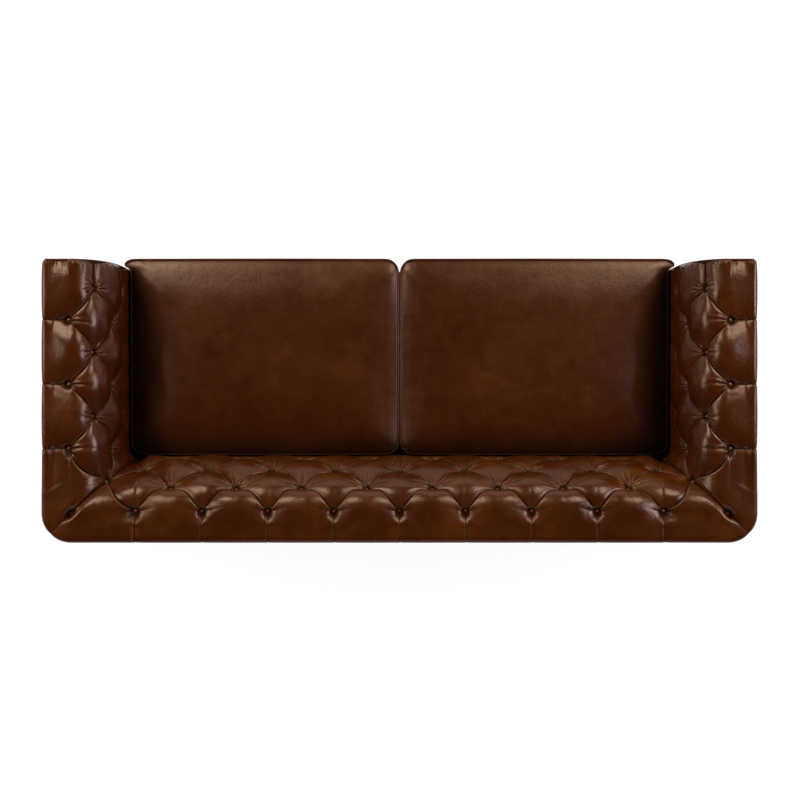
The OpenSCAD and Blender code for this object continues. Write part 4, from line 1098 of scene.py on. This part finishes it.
def rounded_grid(u, v):
    """Points of a square grid from -1 to 1 on a rectangle with round corners."""
    ring = np.maximum(np.maximum(np.abs(u), np.abs(v)), 1e-9)
    half_x, half_y = CUSHION_HALF
    x, y = np.abs(u) * half_x, np.abs(v) * half_y
    corner = SEAM_CORNER * ring
    on_end = np.abs(u) >= np.abs(v)
    into_y = np.clip((y - ring * (half_y - SEAM_CORNER)) / corner, 0, 1)
    into_x = np.clip((x - ring * (half_x - SEAM_CORNER)) / corner, 0, 1)
    turn = np.where(on_end, into_y, 2 - into_x) * math.pi / 4
    round_x = ring * half_x - corner + corner * np.cos(turn)
    round_y = ring * half_y - corner + corner * np.sin(turn)
    in_corner = np.where(on_end, into_y, into_x) > 0
    x, y = np.where(in_corner, round_x, x), np.where(in_corner, round_y, y)
    return np.sign(u) * x, np.sign(v) * y


def spread_front(x, y):
    """The front bulges, its outer corner spreads past the arm, and the inner sides nearly meet."""
    y = y - FRONT_BULGE * ramp((-y - 380) / 80)
    x = x - MEET * ramp((60 - x) / 60)
    ear = ramp((-y - 438) / 11) * ramp((x - 790) / 100)
    middle_ear = ramp((-y - 430) / 30) * ramp((60 - x) / 60)
    return x + EAR * ear + MIDDLE_EAR * middle_ear, y


def cushion_mesh(name, side):
    """Top panel, band and bottom panel as one closed skin."""
    u, v = np.meshgrid(np.linspace(-1, 1, NX + 1), np.linspace(-1, 1, NY + 1), indexing="ij")
    x, y = rounded_grid(u, v)
    edge = np.minimum((1 - np.abs(u)) * CUSHION_HALF[0], (1 - np.abs(v)) * CUSHION_HALF[1])
    rise = sum(high * (1 - np.exp(-edge / reach)) for high, reach in CROWN)
    x, y = x + CUSHION_MID[0], y + CUSHION_MID[1]
    back_share = ramp((y + 440) / 560)
    to_arm = CUSHION_MID[0] + CUSHION_HALF[0] - x
    press = (0.25 + 0.75 * back_share) * ramp((y + 455) / 60)
    rise -= PRESSED * press * np.exp(-(to_arm / (24 + 46 * back_share)) ** 2)
    x, y = spread_front(x, y)
    top = np.stack([x, y, TOP_SEAM + rise], -1)
    bottom = np.stack([x, y, LOW_SEAM - 4.0 * (1 - np.exp(-edge / 12))], -1)
    m, n = NX + 1, NY + 1
    index = np.arange(m * n).reshape(m, n)
    ring = np.concatenate([index[:, 0], index[-1, 1:], index[-2::-1, -1], index[0, -2:0:-1]])
    points = [top.reshape(-1, 3), bottom.reshape(-1, 3)]
    i, j = np.meshgrid(np.arange(m - 1), np.arange(n - 1), indexing="ij")
    cell = np.stack([index[i, j], index[i + 1, j], index[i + 1, j + 1], index[i, j + 1]], -1)
    cell = cell.reshape(-1, 4)
    quads = cell.tolist() + (cell[:, ::-1] + m * n).tolist()
    rim = top.reshape(-1, 3)[ring]
    inward = np.array([*CUSHION_MID, 0]) - rim
    inward[:, 2] = 0
    inward /= np.linalg.norm(inward, axis=1)[:, None]
    start = 2 * m * n
    rows = [ring]
    draw_in = BAND_IN + REAR_IN * ramp((rim[:, 1] - 120) / 60)[:, None]
    for k in range(1, BAND_ROWS):
        t = k / BAND_ROWS
        row = rim + inward * draw_in * math.sin(math.pi * t)
        row[:, 2] = rim[:, 2] + (LOW_SEAM - rim[:, 2]) * t
        points.append(row)
        rows.append(start + (k - 1) * len(ring) + np.arange(len(ring)))
    rows.append(ring + m * n)
    for upper, lower in zip(rows, rows[1:]):
        after_u, after_l = np.roll(upper, -1), np.roll(lower, -1)
        quads += np.stack([upper, lower, after_l, after_u], -1).tolist()
    everything = np.concatenate(points)
    pinned = set(ring.tolist()) | set(range(m * n, 2 * m * n))
    high = everything[:, 2]
    at_zip = (everything[:, 1] > ZIP_FROM_Y) & (high < ZIP_HIGH) & (high > ZIP_LOW)
    pinned |= set(np.nonzero(at_zip)[0].tolist())
    if side < 0:
        everything = everything * (-1, 1, 1)
        quads = [q[::-1] for q in quads]
    piece = mesh_piece(name, everything, quads)
    return piece, sorted(pinned), ring


# %% [markdown]
# Cloth with pressure and no gravity fills the cushion. The mesh starts a little slack, so small
# puckers form along the seams. A cap keeps every point within a few millimetres of its start, and
# the result is written back to the mesh, so nothing is left to simulate.

# %% Fill a cushion
FILL_FRAMES = 20
FILL_CAP = 12.0
PRESSURE, SLACK = 3.2, 0.001


def fill_with_pressure(piece, pinned):
    """Runs cloth on a closed piece and keeps the capped result."""
    start = np.array([v.co[:] for v in piece.data.vertices])
    group = piece.vertex_groups.new(name="seams")
    group.add(pinned, 1.0, "REPLACE")
    cloth_modifier = piece.modifiers.new("filling", "CLOTH")
    settings = cloth_modifier.settings
    settings.quality = 6
    settings.mass = 0.25
    settings.tension_stiffness = settings.compression_stiffness = 22
    settings.shear_stiffness = 12
    settings.bending_stiffness = 4.0
    settings.vertex_group_mass = "seams"
    settings.use_pressure = True
    settings.uniform_pressure_force = PRESSURE
    settings.shrink_min = -SLACK
    settings.effector_weights.gravity = 0
    cloth_modifier.point_cache.frame_start = 1
    cloth_modifier.point_cache.frame_end = FILL_FRAMES
    for number in range(1, FILL_FRAMES + 1):
        bpy.context.scene.frame_set(number)
    filled = piece.evaluated_get(bpy.context.evaluated_depsgraph_get())
    end = np.array([v.co[:] for v in filled.data.vertices])
    move = end - start
    far = np.linalg.norm(move, axis=1)
    cap = FILL_CAP * MM
    move *= (cap * (1 - np.exp(-far / cap)) / np.maximum(far, 1e-9))[:, None]
    piece.modifiers.remove(cloth_modifier)
    piece.vertex_groups.remove(group)
    piece.data.vertices.foreach_set("co", (start + move).ravel())
    piece.data.update()
    bpy.context.scene.frame_set(1)
    print(piece.name, "moved", round(float(far.max()) / MM, 1), "mm before the cap")


def smooth_once(piece, seam):
    """One level of subdivision, applied. Edges between the seam's points stay where they are."""
    held = set(seam)
    values = [float(a in held and b in held) for a, b in
              (edge.vertices for edge in piece.data.edges)]
    crease = piece.data.attributes.new("crease_edge", "FLOAT", "EDGE")
    crease.data.foreach_set("value", values)
    select_only(piece)
    modifier = piece.modifiers.new("rounding", "SUBSURF")
    modifier.levels = modifier.render_levels = 1
    bpy.ops.object.modifier_apply(modifier=modifier.name)


def crook_painted_shade(x, y):
    """How much shade is painted on the leather in the crook of the arm and back."""
    to_arm = np.maximum(CUSHION_MID[0] + CUSHION_HALF[0] - x, 0)
    to_back = np.maximum(CUSHION_MID[1] + CUSHION_HALF[1] - y, 0)
    reach = 42 + 62 * ramp((y + 430) / 250)
    beside_arm = 0.93 * np.exp(-(to_arm / reach) ** 3) * ramp((y + 446) / 26)
    below_back = 0.85 * np.exp(-(to_back / 62) ** 2)
    return 1 - (1 - beside_arm) * (1 - below_back)


def mark_seams(piece):
    """Paints shade in the crook, darkens the seams, and lightens a band just above the top seam.
    """
    points = np.empty(len(piece.data.vertices) * 3)
    piece.data.vertices.foreach_get("co", points)
    x, y, z = points.reshape(-1, 3).T / MM
    near = np.minimum(np.abs(z - TOP_SEAM), np.abs(z - LOW_SEAM))
    seams = 0.55 * np.exp(-(near / 2.2) ** 2)
    # Painted shade in the crook of arm and back, with the seams darkened
    paint(piece, "painted_shade", 1 - (1 - crook_painted_shade(np.abs(x), y)) * (1 - seams))
    # A lighter band just above the top seam
    paint(piece, "rub_and_highlight", np.exp(-((z - TOP_SEAM - 5) / 3) ** 2) * 0.2)


WELT_SIDES = 10


def ring_tube(name, path, radius, closed=True):
    """A round cord along a line of points."""
    sides = WELT_SIDES
    path = np.asarray(path, float)
    if closed:
        tangent = np.roll(path, -1, 0) - np.roll(path, 1, 0)
    else:
        tangent = np.gradient(path, axis=0)
    tangent /= np.linalg.norm(tangent, axis=1)[:, None]
    up = np.array([0.0, 0.0, 1.0]) if np.abs(tangent[:, 2]).max() < 0.9 else np.array([0, 1.0, 0])
    across = np.cross(tangent, up)
    across /= np.linalg.norm(across, axis=1)[:, None]
    normal = np.cross(across, tangent)
    turn = np.arange(sides) / sides * 2 * math.pi
    rings = (path[:, None] + radius * (across[:, None] * np.cos(turn)[None, :, None]
                                       + normal[:, None] * np.sin(turn)[None, :, None]))
    count = len(path)
    faces = []
    for i in range(count if closed else count - 1):
        a, b = i * sides, ((i + 1) % count) * sides
        for k in range(sides):
            e = (k + 1) % sides
            faces.append((a + k, b + k, b + e, a + e))
    if not closed:
        faces.append(list(range(sides)))
        faces.append([(count - 1) * sides + k for k in range(sides - 1, -1, -1)])
    return mesh_piece(name, rings.reshape(-1, 3), faces)


FIBRE_GAP, FIBRE_T, FOAM_GAP = 5.0, 18.0, 25.0
WELT_R = 3.5


def inner_copy(cover, name, gap):
    """A copy of the filled leather, drawn in by a gap."""
    inner = bpy.data.objects.new(name, cover.data.copy())
    bpy.context.scene.collection.objects.link(inner)
    select_only(inner)
    bpy.ops.object.mode_set(mode="EDIT")
    bpy.ops.mesh.select_all(action="SELECT")
    bpy.ops.transform.shrink_fatten(value=-gap * MM)
    bpy.ops.object.mode_set(mode="OBJECT")
    return inner


def fill_layers(word, cover):
    """The fibre wrap, a hollow shell under the leather, and the foam core inside it."""
    wrap = inner_copy(cover, word + "_cushion_fibre", FIBRE_GAP)
    wall = wrap.modifiers.new("wall", "SOLIDIFY")
    wall.thickness = FIBRE_T * MM
    wall.offset = -1
    bpy.ops.object.modifier_apply(modifier=wall.name)
    body = word + "_seat_cushion"
    dress(wrap, fibre, [word + "_cushion_wrap"], body)
    core = inner_copy(cover, word + "_cushion_foam", FOAM_GAP)
    dress(core, foam, [word + "_cushion_core"], body)


def make_cushion(word, side):
    """Cover, wrap, core and welts of one seat cushion."""
    body = word + "_seat_cushion"
    cover, pinned, ring = cushion_mesh(word + "_cushion_leather", side)
    fill_with_pressure(cover, pinned)
    fill_layers(word, cover)
    smooth_once(cover, list(ring) + [i + (NX + 1) * (NY + 1) for i in ring])
    seam = np.array([cover.data.vertices[i].co[:] for i in ring]) / MM
    mark_seams(cover)
    dress(cover, cushion_hide, [word + "_cushion_cover"], body=body)
    centre = np.array([side * CUSHION_MID[0], CUSHION_MID[1], 0])
    outward = seam - centre
    outward[:, 2] = 0
    outward /= np.linalg.norm(outward, axis=1)[:, None]
    upper = seam + outward * 2.0
    lower = upper.copy()
    lower[:, 2] = LOW_SEAM
    pieces = [ring_tube("welt", path, WELT_R) for path in (upper, lower)]
    welts = join_pieces(word + "_cushion_piping", pieces)
    spots = np.array([v.co[:] for v in welts.data.vertices]) / MM
    # The welts get the same painted shade in the crook
    paint(welts, "painted_shade", crook_painted_shade(np.abs(spots[:, 0]), spots[:, 1]))
    dress(welts, welt_hide, [word + "_cushion_welts"], body=body)


make_cushion("right", 1)
make_cushion("left", -1)

# %% [markdown]
# ## Arm facings
#
# The front of each arm is closed by a padded panel with a welt round it. Its outline is the arm's
# own profile, drawn in. We fill it with columns of points that hang from that outline down to the
# underside, then push the middle forward so that it swells like a thin cushion.

# %% Arm facings and their welts
FACING_IN = 14.0
FACING_BACK_Y, FACING_FRONT_Y = -430.6, -439.5
UNDERSIDE_Z = 131.0
FACING_SWELL = 5.0
FACING_WELT_Y, FACING_WELT_R = -440.0, 3.3


def facing_outline(inset, steps):
    """In and down of points along an arm's profile, drawn in by inset."""
    r = np.concatenate([np.linspace(0, 1, steps // 3, endpoint=False),
                        np.linspace(1, END_ROW, steps)])
    d, h, a = profile(True, r)
    return d - inset * np.sin(a), h + inset * np.cos(a)


def build_facing(name, side):
    """A padded panel between the arm's profile and the underside."""
    d, h = facing_outline(FACING_IN, 60)
    keep = h < PAD_DROP - 2
    d, h = d[keep], h[keep]
    d, h = np.append(d, d[-1] + 0.5), np.append(h, TOP_Z - UNDERSIDE_Z - 40)
    v = ramp(np.linspace(0, 1, 40)) * 0.6
    v = v + 0.4 * np.linspace(0, 1, len(v))
    top = TOP_Z - h
    z = UNDERSIDE_Z + v[None, :] * (top - UNDERSIDE_Z)[:, None]
    x = np.repeat(d[:, None], len(v), 1)
    reach = np.interp(z.ravel(), top[::-1], d[::-1]).reshape(z.shape)
    away = np.minimum.reduce([x - d.min(), np.maximum(reach - x, 0), z - UNDERSIDE_Z,
                              top[:, None] - z])
    swell_out = FACING_SWELL * (1 - np.exp(-np.maximum(away, 0) / 14))
    front = np.stack([SIDE_X - x, FACING_FRONT_Y - swell_out, z], -1)
    back = np.stack([SIDE_X - x, np.full_like(x, FACING_BACK_Y), z], -1)
    m, n = x.shape
    faces = grid_faces(m, n, 0, True) + grid_faces(m, n, m * n, False)
    index = np.arange(m * n).reshape(m, n)
    for line, flip in ((index[:, 0], False), (index[:, -1], True), (index[0, :], True),
                       (index[-1, :], False)):
        faces += sew(line, line + m * n, flip)
    points = np.concatenate([front.reshape(-1, 3), back.reshape(-1, 3)])
    if side < 0:
        points[:, 0] *= -1
        faces = [f[::-1] for f in faces]
    piece = mesh_piece(name, points, faces)
    # Painted shade along the rim of the panel
    rim = np.concatenate([np.exp(-(away.ravel() / 3) ** 2), np.zeros(m * n)])
    paint(piece, "painted_shade", 0.6 * rim)
    return piece


def facing_welt(side):
    """The welt up the outer edge, over the top and down the inner edge of a facing."""
    d, h = facing_outline(FACING_IN - 2.0, 60)
    keep = h < PAD_DROP - 4
    d, h = d[keep], h[keep]
    d = np.concatenate([[d[0]] * 8, d, [d[-1]] * 5])
    z = np.concatenate([np.linspace(UNDERSIDE_Z, TOP_Z - h[0] - 40, 8), TOP_Z - h,
                        np.linspace(TOP_Z - h[-1] - 30, UNDERSIDE_Z, 5)])
    path = np.stack([side * (SIDE_X - d), np.full_like(d, FACING_WELT_Y), z], -1)
    return ring_tube("facing_welt", path, FACING_WELT_R, closed=False)


for word, side in (("right", 1), ("left", -1)):
    facing = build_facing(word + "_arm_front_panel", side)
    dress(facing, plain_hide, [word + "_arm_facing"])
facing_piping = join_pieces("arm_front_piping", [facing_welt(1), facing_welt(-1)])
dress(facing_piping, welt_hide, ["facing_welts"])

# %% [markdown]
# ## Plain leather panels
#
# The outside of the sofa is plain hide, stretched over boards and turned in at its edges. A panel
# is a grid along a path and up its height. Its face stands out by a millimetre or two in the
# middle and dips at each edge, where the leather turns under.


# %% Outside panels and the front rail panel
PANEL_T = 2.4
# Steps up from the edge of a panel, where it dips
RIM_STEPS = np.array([0, 1, 2.5, 5, 9])


def leather_panel(name, path, outward, z0, z1, bulge, phase=0.0):
    """A closed panel of leather along a path on the floor plan."""
    path, outward = np.asarray(path, float), np.asarray(outward, float)
    step = np.linalg.norm(np.diff(path, axis=0), axis=1)
    run = np.concatenate([[0], np.cumsum(step)])
    rise = np.concatenate([RIM_STEPS, np.linspace(15, z1 - z0 - 15, 24),
                           z1 - z0 - RIM_STEPS[::-1]])
    s, w = np.meshgrid(run, rise, indexing="ij")
    away = np.minimum.reduce([s, run[-1] - s, w, rise[-1] - w])
    out = bulge * (1 - np.exp(-away / 60)) - 1.6 * np.exp(-away / 1.6)
    out += 0.5 * np.sin(s / 173 + phase) * np.sin(w / 121 + 1) * ramp(away / 60)
    face = path[:, None] + outward[:, None] * out[..., None]
    back = path[:, None] - outward[:, None] * PANEL_T * np.ones_like(out)[..., None]
    z = (z0 + w)[..., None]
    m, n = s.shape
    faces = grid_faces(m, n, 0, False) + grid_faces(m, n, m * n, True)
    index = np.arange(m * n).reshape(m, n)
    for line, flip in ((index[:, 0], True), (index[:, -1], False), (index[0, :], False),
                       (index[-1, :], True)):
        faces += sew(line, line + m * n, flip)
    points = np.concatenate([np.concatenate([face, z], -1).reshape(-1, 3),
                             np.concatenate([back, z], -1).reshape(-1, 3)])
    piece = mesh_piece(name, points, faces)
    # Painted shade in the dip along each edge
    rim = np.concatenate([np.exp(-(away.ravel() / 2) ** 2), np.zeros(m * n)])
    paint(piece, "painted_shade", 0.8 * rim)
    return piece, run[-1] * MM, (z1 - z0) * MM


def stretch_panel(piece, node):
    """Dresses a panel in plain hide and hides the node that it stands for."""
    dress(piece, plain_hide, [node])


SKIN_LOW, SKIN_TOP = 131.0, 694.7
SKIN_BULGE, RAIL_BULGE = 1.6, 3.0
CORNER_Y = BACK_Y - CORNER_R

turn = np.linspace(0, math.pi / 2, 24)
corner_right = np.stack([SIDE_X - CORNER_R + CORNER_R * np.cos(turn),
                         CORNER_Y + CORNER_R * np.sin(turn)], -1)
normal_right = np.stack([np.cos(turn), np.sin(turn)], -1)
middle_x = np.linspace(SIDE_X - CORNER_R, CORNER_R - SIDE_X, 60)[1:-1]
middle = np.stack([middle_x, np.full_like(middle_x, BACK_Y)], -1)
rear_path = np.concatenate([corner_right, middle, corner_right[::-1] * (-1, 1)])
rear_normal = np.concatenate([normal_right, np.tile([0.0, 1.0], (len(middle), 1)),
                              normal_right[::-1] * (-1, 1)])
rear_panel, rear_run, rear_rise = leather_panel(
    "outside_back_panel", rear_path, rear_normal, SKIN_LOW, SKIN_TOP, SKIN_BULGE)
stretch_panel(rear_panel, "outside_back_cover")

side_y = np.linspace(-424, CORNER_Y - 0.5, 40)
front_turn = np.linspace(-math.pi / 2, 0, 8)
FOLD_R, FRONT_EDGE_Y = 5.0, -432.6
fold_x = SIDE_X - FOLD_R + FOLD_R * np.cos(front_turn)
fold_y = FRONT_EDGE_Y + FOLD_R + FOLD_R * np.sin(front_turn)
for word, side in (("right", 1), ("left", -1)):
    lead_x = np.linspace(SIDE_X - 24, SIDE_X - FOLD_R - 2, 5)
    path = np.concatenate([np.stack([lead_x, np.full(5, FRONT_EDGE_Y)], -1),
                           np.stack([fold_x, fold_y], -1),
                           np.stack([np.full(40, SIDE_X), side_y], -1)])
    normal = np.concatenate([np.tile([0.0, -1.0], (5, 1)),
                             np.stack([np.cos(front_turn), np.sin(front_turn)], -1),
                             np.tile([1.0, 0.0], (40, 1))])
    path, normal = path * (side, 1), normal * (side, 1)
    order = slice(None) if side > 0 else slice(None, None, -1)
    panel, panel_run, panel_rise = leather_panel(
        word + "_outside_arm_panel", path[order], normal[order], SKIN_LOW, SKIN_TOP,
        SKIN_BULGE, side)
    stretch_panel(panel, word + "_outside_arm_cover")

rail_low, rail_high = (np.array(v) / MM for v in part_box("front_rail_cover"))
rail_x = np.linspace(rail_low[0] + 2, rail_high[0] - 2, 80)
rail_turn = np.linspace(0, math.pi / 2, 6)[:-1]
# The panel goes on behind each facing, round an edge of radius RAIL_R
RAIL_OVER, RAIL_R = 5.0, 3.5
end_x = rail_high[0] + RAIL_OVER
end_y = rail_low[1] + RAIL_R
round_end = np.stack([end_x - RAIL_R + RAIL_R * np.cos(rail_turn),
                      end_y - RAIL_R * np.sin(rail_turn)], -1)
round_out = np.stack([np.cos(rail_turn), -np.sin(rail_turn)], -1)
end_run = np.stack([np.full(5, end_x), np.linspace(-431, end_y + 1, 5)], -1)
end_out = np.tile([1.0, 0.0], (5, 1))
right_end, right_out = np.concatenate([end_run, round_end]), np.concatenate([end_out, round_out])
rail_path = np.concatenate([right_end * (-1, 1), np.stack([rail_x, np.full(80, rail_low[1])], -1),
                            right_end[::-1]])
rail_out = np.concatenate([right_out * (-1, 1), np.tile([0.0, -1.0], (80, 1)), right_out[::-1]])
rail_panel, rail_run, rail_rise = leather_panel(
    "front_rail_panel", rail_path, rail_out, rail_low[2], rail_high[2], RAIL_BULGE)
stretch_panel(rail_panel, "front_rail_cover")

# %% [markdown]
# ## Foam, fibre and cloth inside
#
# The soft layers inside don't show until a cushion is lifted or a cover comes off, but they are
# cut and glued by hand, so their edges are never knife sharp. Each is a merged copy of its node
# with rounded edges.


# %% Soft inner layers
def soft_layer(name, node, material, rounding):
    """A copy of a node with its loose triangles joined and its edges rounded."""
    piece = nodes[node].copy()
    piece.data = nodes[node].data.copy()
    for key in list(piece.keys()):
        if key.startswith("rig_"):
            del piece[key]
    piece.name, piece.parent = name, None
    bpy.context.scene.collection.objects.link(piece)
    select_only(piece)
    bpy.ops.object.mode_set(mode="EDIT")
    bpy.ops.mesh.select_all(action="SELECT")
    bpy.ops.mesh.remove_doubles(threshold=0.00001)
    bpy.ops.mesh.dissolve_limited(angle_limit=math.radians(1))
    bpy.ops.object.mode_set(mode="OBJECT")
    edges = piece.modifiers.new("rounding", "BEVEL")
    edges.width = rounding * MM
    edges.segments = 3
    edges.limit_method = "ANGLE"
    edges.angle_limit = math.radians(50)
    bpy.ops.object.modifier_apply(modifier=edges.name)
    bpy.ops.object.shade_smooth_by_angle(angle=math.radians(35))
    return dress(piece, material, [node])


FOAM_LAYERS = (
    ("back_foam_layer", "back_foam", 3, 0.8),
    ("left_arm_foam_layer", "left_arm_foam", 3, 0.8),
    ("right_arm_foam_layer", "right_arm_foam", 3, 0.8),
    ("deck_padding", "deck_pad", 3, 0.9),
    ("front_rail_padding", "front_rail_pad", 2, 0.9),
)
for name, node, rounding, fill in FOAM_LAYERS:
    soft_layer(name, node, foam, rounding)


CLOTH_ROUNDING = 0.3


def cloth_layer(name, node, material):
    """A thin cloth made from its node, with its edges barely rounded."""
    piece = soft_layer(name, node, material, CLOTH_ROUNDING)


cloth_layer("deck_cover_cloth", "deck_cloth", black_cloth)
cloth_layer("dust_cloth", "dust_cover", black_cloth)
cloth_layer("back_hessian_cloth", "back_hessian", jute)
# The two arms' cloths are one piece
cloth_layer("arm_hessian_cloth", "arm_hessian", jute)

# %% [markdown]
# ## Zips
#
# A hidden zip closes the back of each cushion. One tooth is modelled for each side of it, and an
# Array modifier sets the whole row along the tape. The slider is a block with its edges rounded
# off, and its pull is a small tab on a ring.


# %% Zip tape, teeth and slider
def block(name, low, high, bevel, segments=2):
    """A box between two corners in millimetres with its edges rounded."""
    low, high = np.array(low, float), np.array(high, float)
    bpy.ops.object.select_all(action="DESELECT")
    bpy.ops.mesh.primitive_cube_add(size=1, location=tuple((low + high) / 2 * MM))
    piece = bpy.context.object
    piece.name = name
    piece.scale = tuple((high - low) * MM)
    apply_place(piece)
    bpy.ops.object.mode_set(mode="EDIT")
    bpy.ops.mesh.select_all(action="SELECT")
    bpy.ops.mesh.bevel(offset=bevel * MM, segments=segments, affect="EDGES")
    bpy.ops.object.mode_set(mode="OBJECT")
    bpy.ops.object.shade_smooth_by_angle(angle=math.radians(40))
    return piece


TAPE_T = 1.0
# Pitch, width and height of the teeth, and the clear tape at each end of the row
TOOTH_PITCH, TOOTH_W, TOOTH_OUT, TAPE_END = 3.0, 1.3, 2.9, 5.0
BODY_TALL, RING_R, WIRE_R, TAB_W = 8, 2.2, 0.6, 4.8


def make_zip(word):
    """Tape and teeth ride on a cushion, and the slider rides on its own body."""
    body = word + "_seat_cushion"
    low, high = (np.array(v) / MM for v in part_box(word + "_cushion_zip"))
    middle = (low[2] + high[2]) / 2
    tape = block(word + "_zip_tape", low, (high[0], low[1] + TAPE_T, high[2]), 0.3)
    count = int((high[0] - low[0] - 2 * TAPE_END - 2) / TOOTH_PITCH)
    teeth = []
    for up in (0, 1):
        x = low[0] + TAPE_END + up * TOOTH_PITCH / 2
        tooth = block("tooth", (x, low[1] + TAPE_T, middle - 2.6 + up),
                      (x + TOOTH_W, low[1] + TOOTH_OUT, middle + 1.6 + up), 0.35, 1)
        row = tooth.modifiers.new("row", "ARRAY")
        row.count = count
        row.use_relative_offset = False
        row.use_constant_offset = True
        row.constant_offset_displace = (TOOTH_PITCH * MM, 0, 0)
        bpy.ops.object.modifier_apply(modifier=row.name)
        teeth.append(tooth)
    dress(tape, black_cloth, [word + "_cushion_zip"], body)
    chain = join_pieces(word + "_zip_teeth", teeth)
    dress(chain, zip_metal, body=body)
    low, high = (np.array(v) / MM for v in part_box(word + "_zip_slider"))
    top_z, centre_x = high[2], (low[0] + high[0]) / 2
    shell = block("shell", (low[0], low[1], top_z - BODY_TALL), (high[0], high[1] - 1, top_z),
                  1.0, 3)
    ring_z = top_z - BODY_TALL / 2
    tab = block("tab", (centre_x - TAB_W / 2, high[1] - 1.1, low[2]),
                (centre_x + TAB_W / 2, high[1] - 0.1, ring_z), 0.4)
    bpy.ops.object.select_all(action="DESELECT")
    ring_at = (centre_x * MM, (high[1] - 0.7) * MM, ring_z * MM)
    bpy.ops.mesh.primitive_torus_add(major_radius=RING_R * MM, minor_radius=WIRE_R * MM,
                                     major_segments=16, minor_segments=8,
                                     location=ring_at, rotation=(math.pi / 2, 0, 0))
    ring = bpy.context.object
    apply_place(ring)
    slider = join_pieces(word + "_zip_runner", [shell, tab, ring])
    dress(slider, zip_metal, [word + "_zip_slider"], word + "_zip_pull")


for word in ("left", "right"):
    make_zip(word)
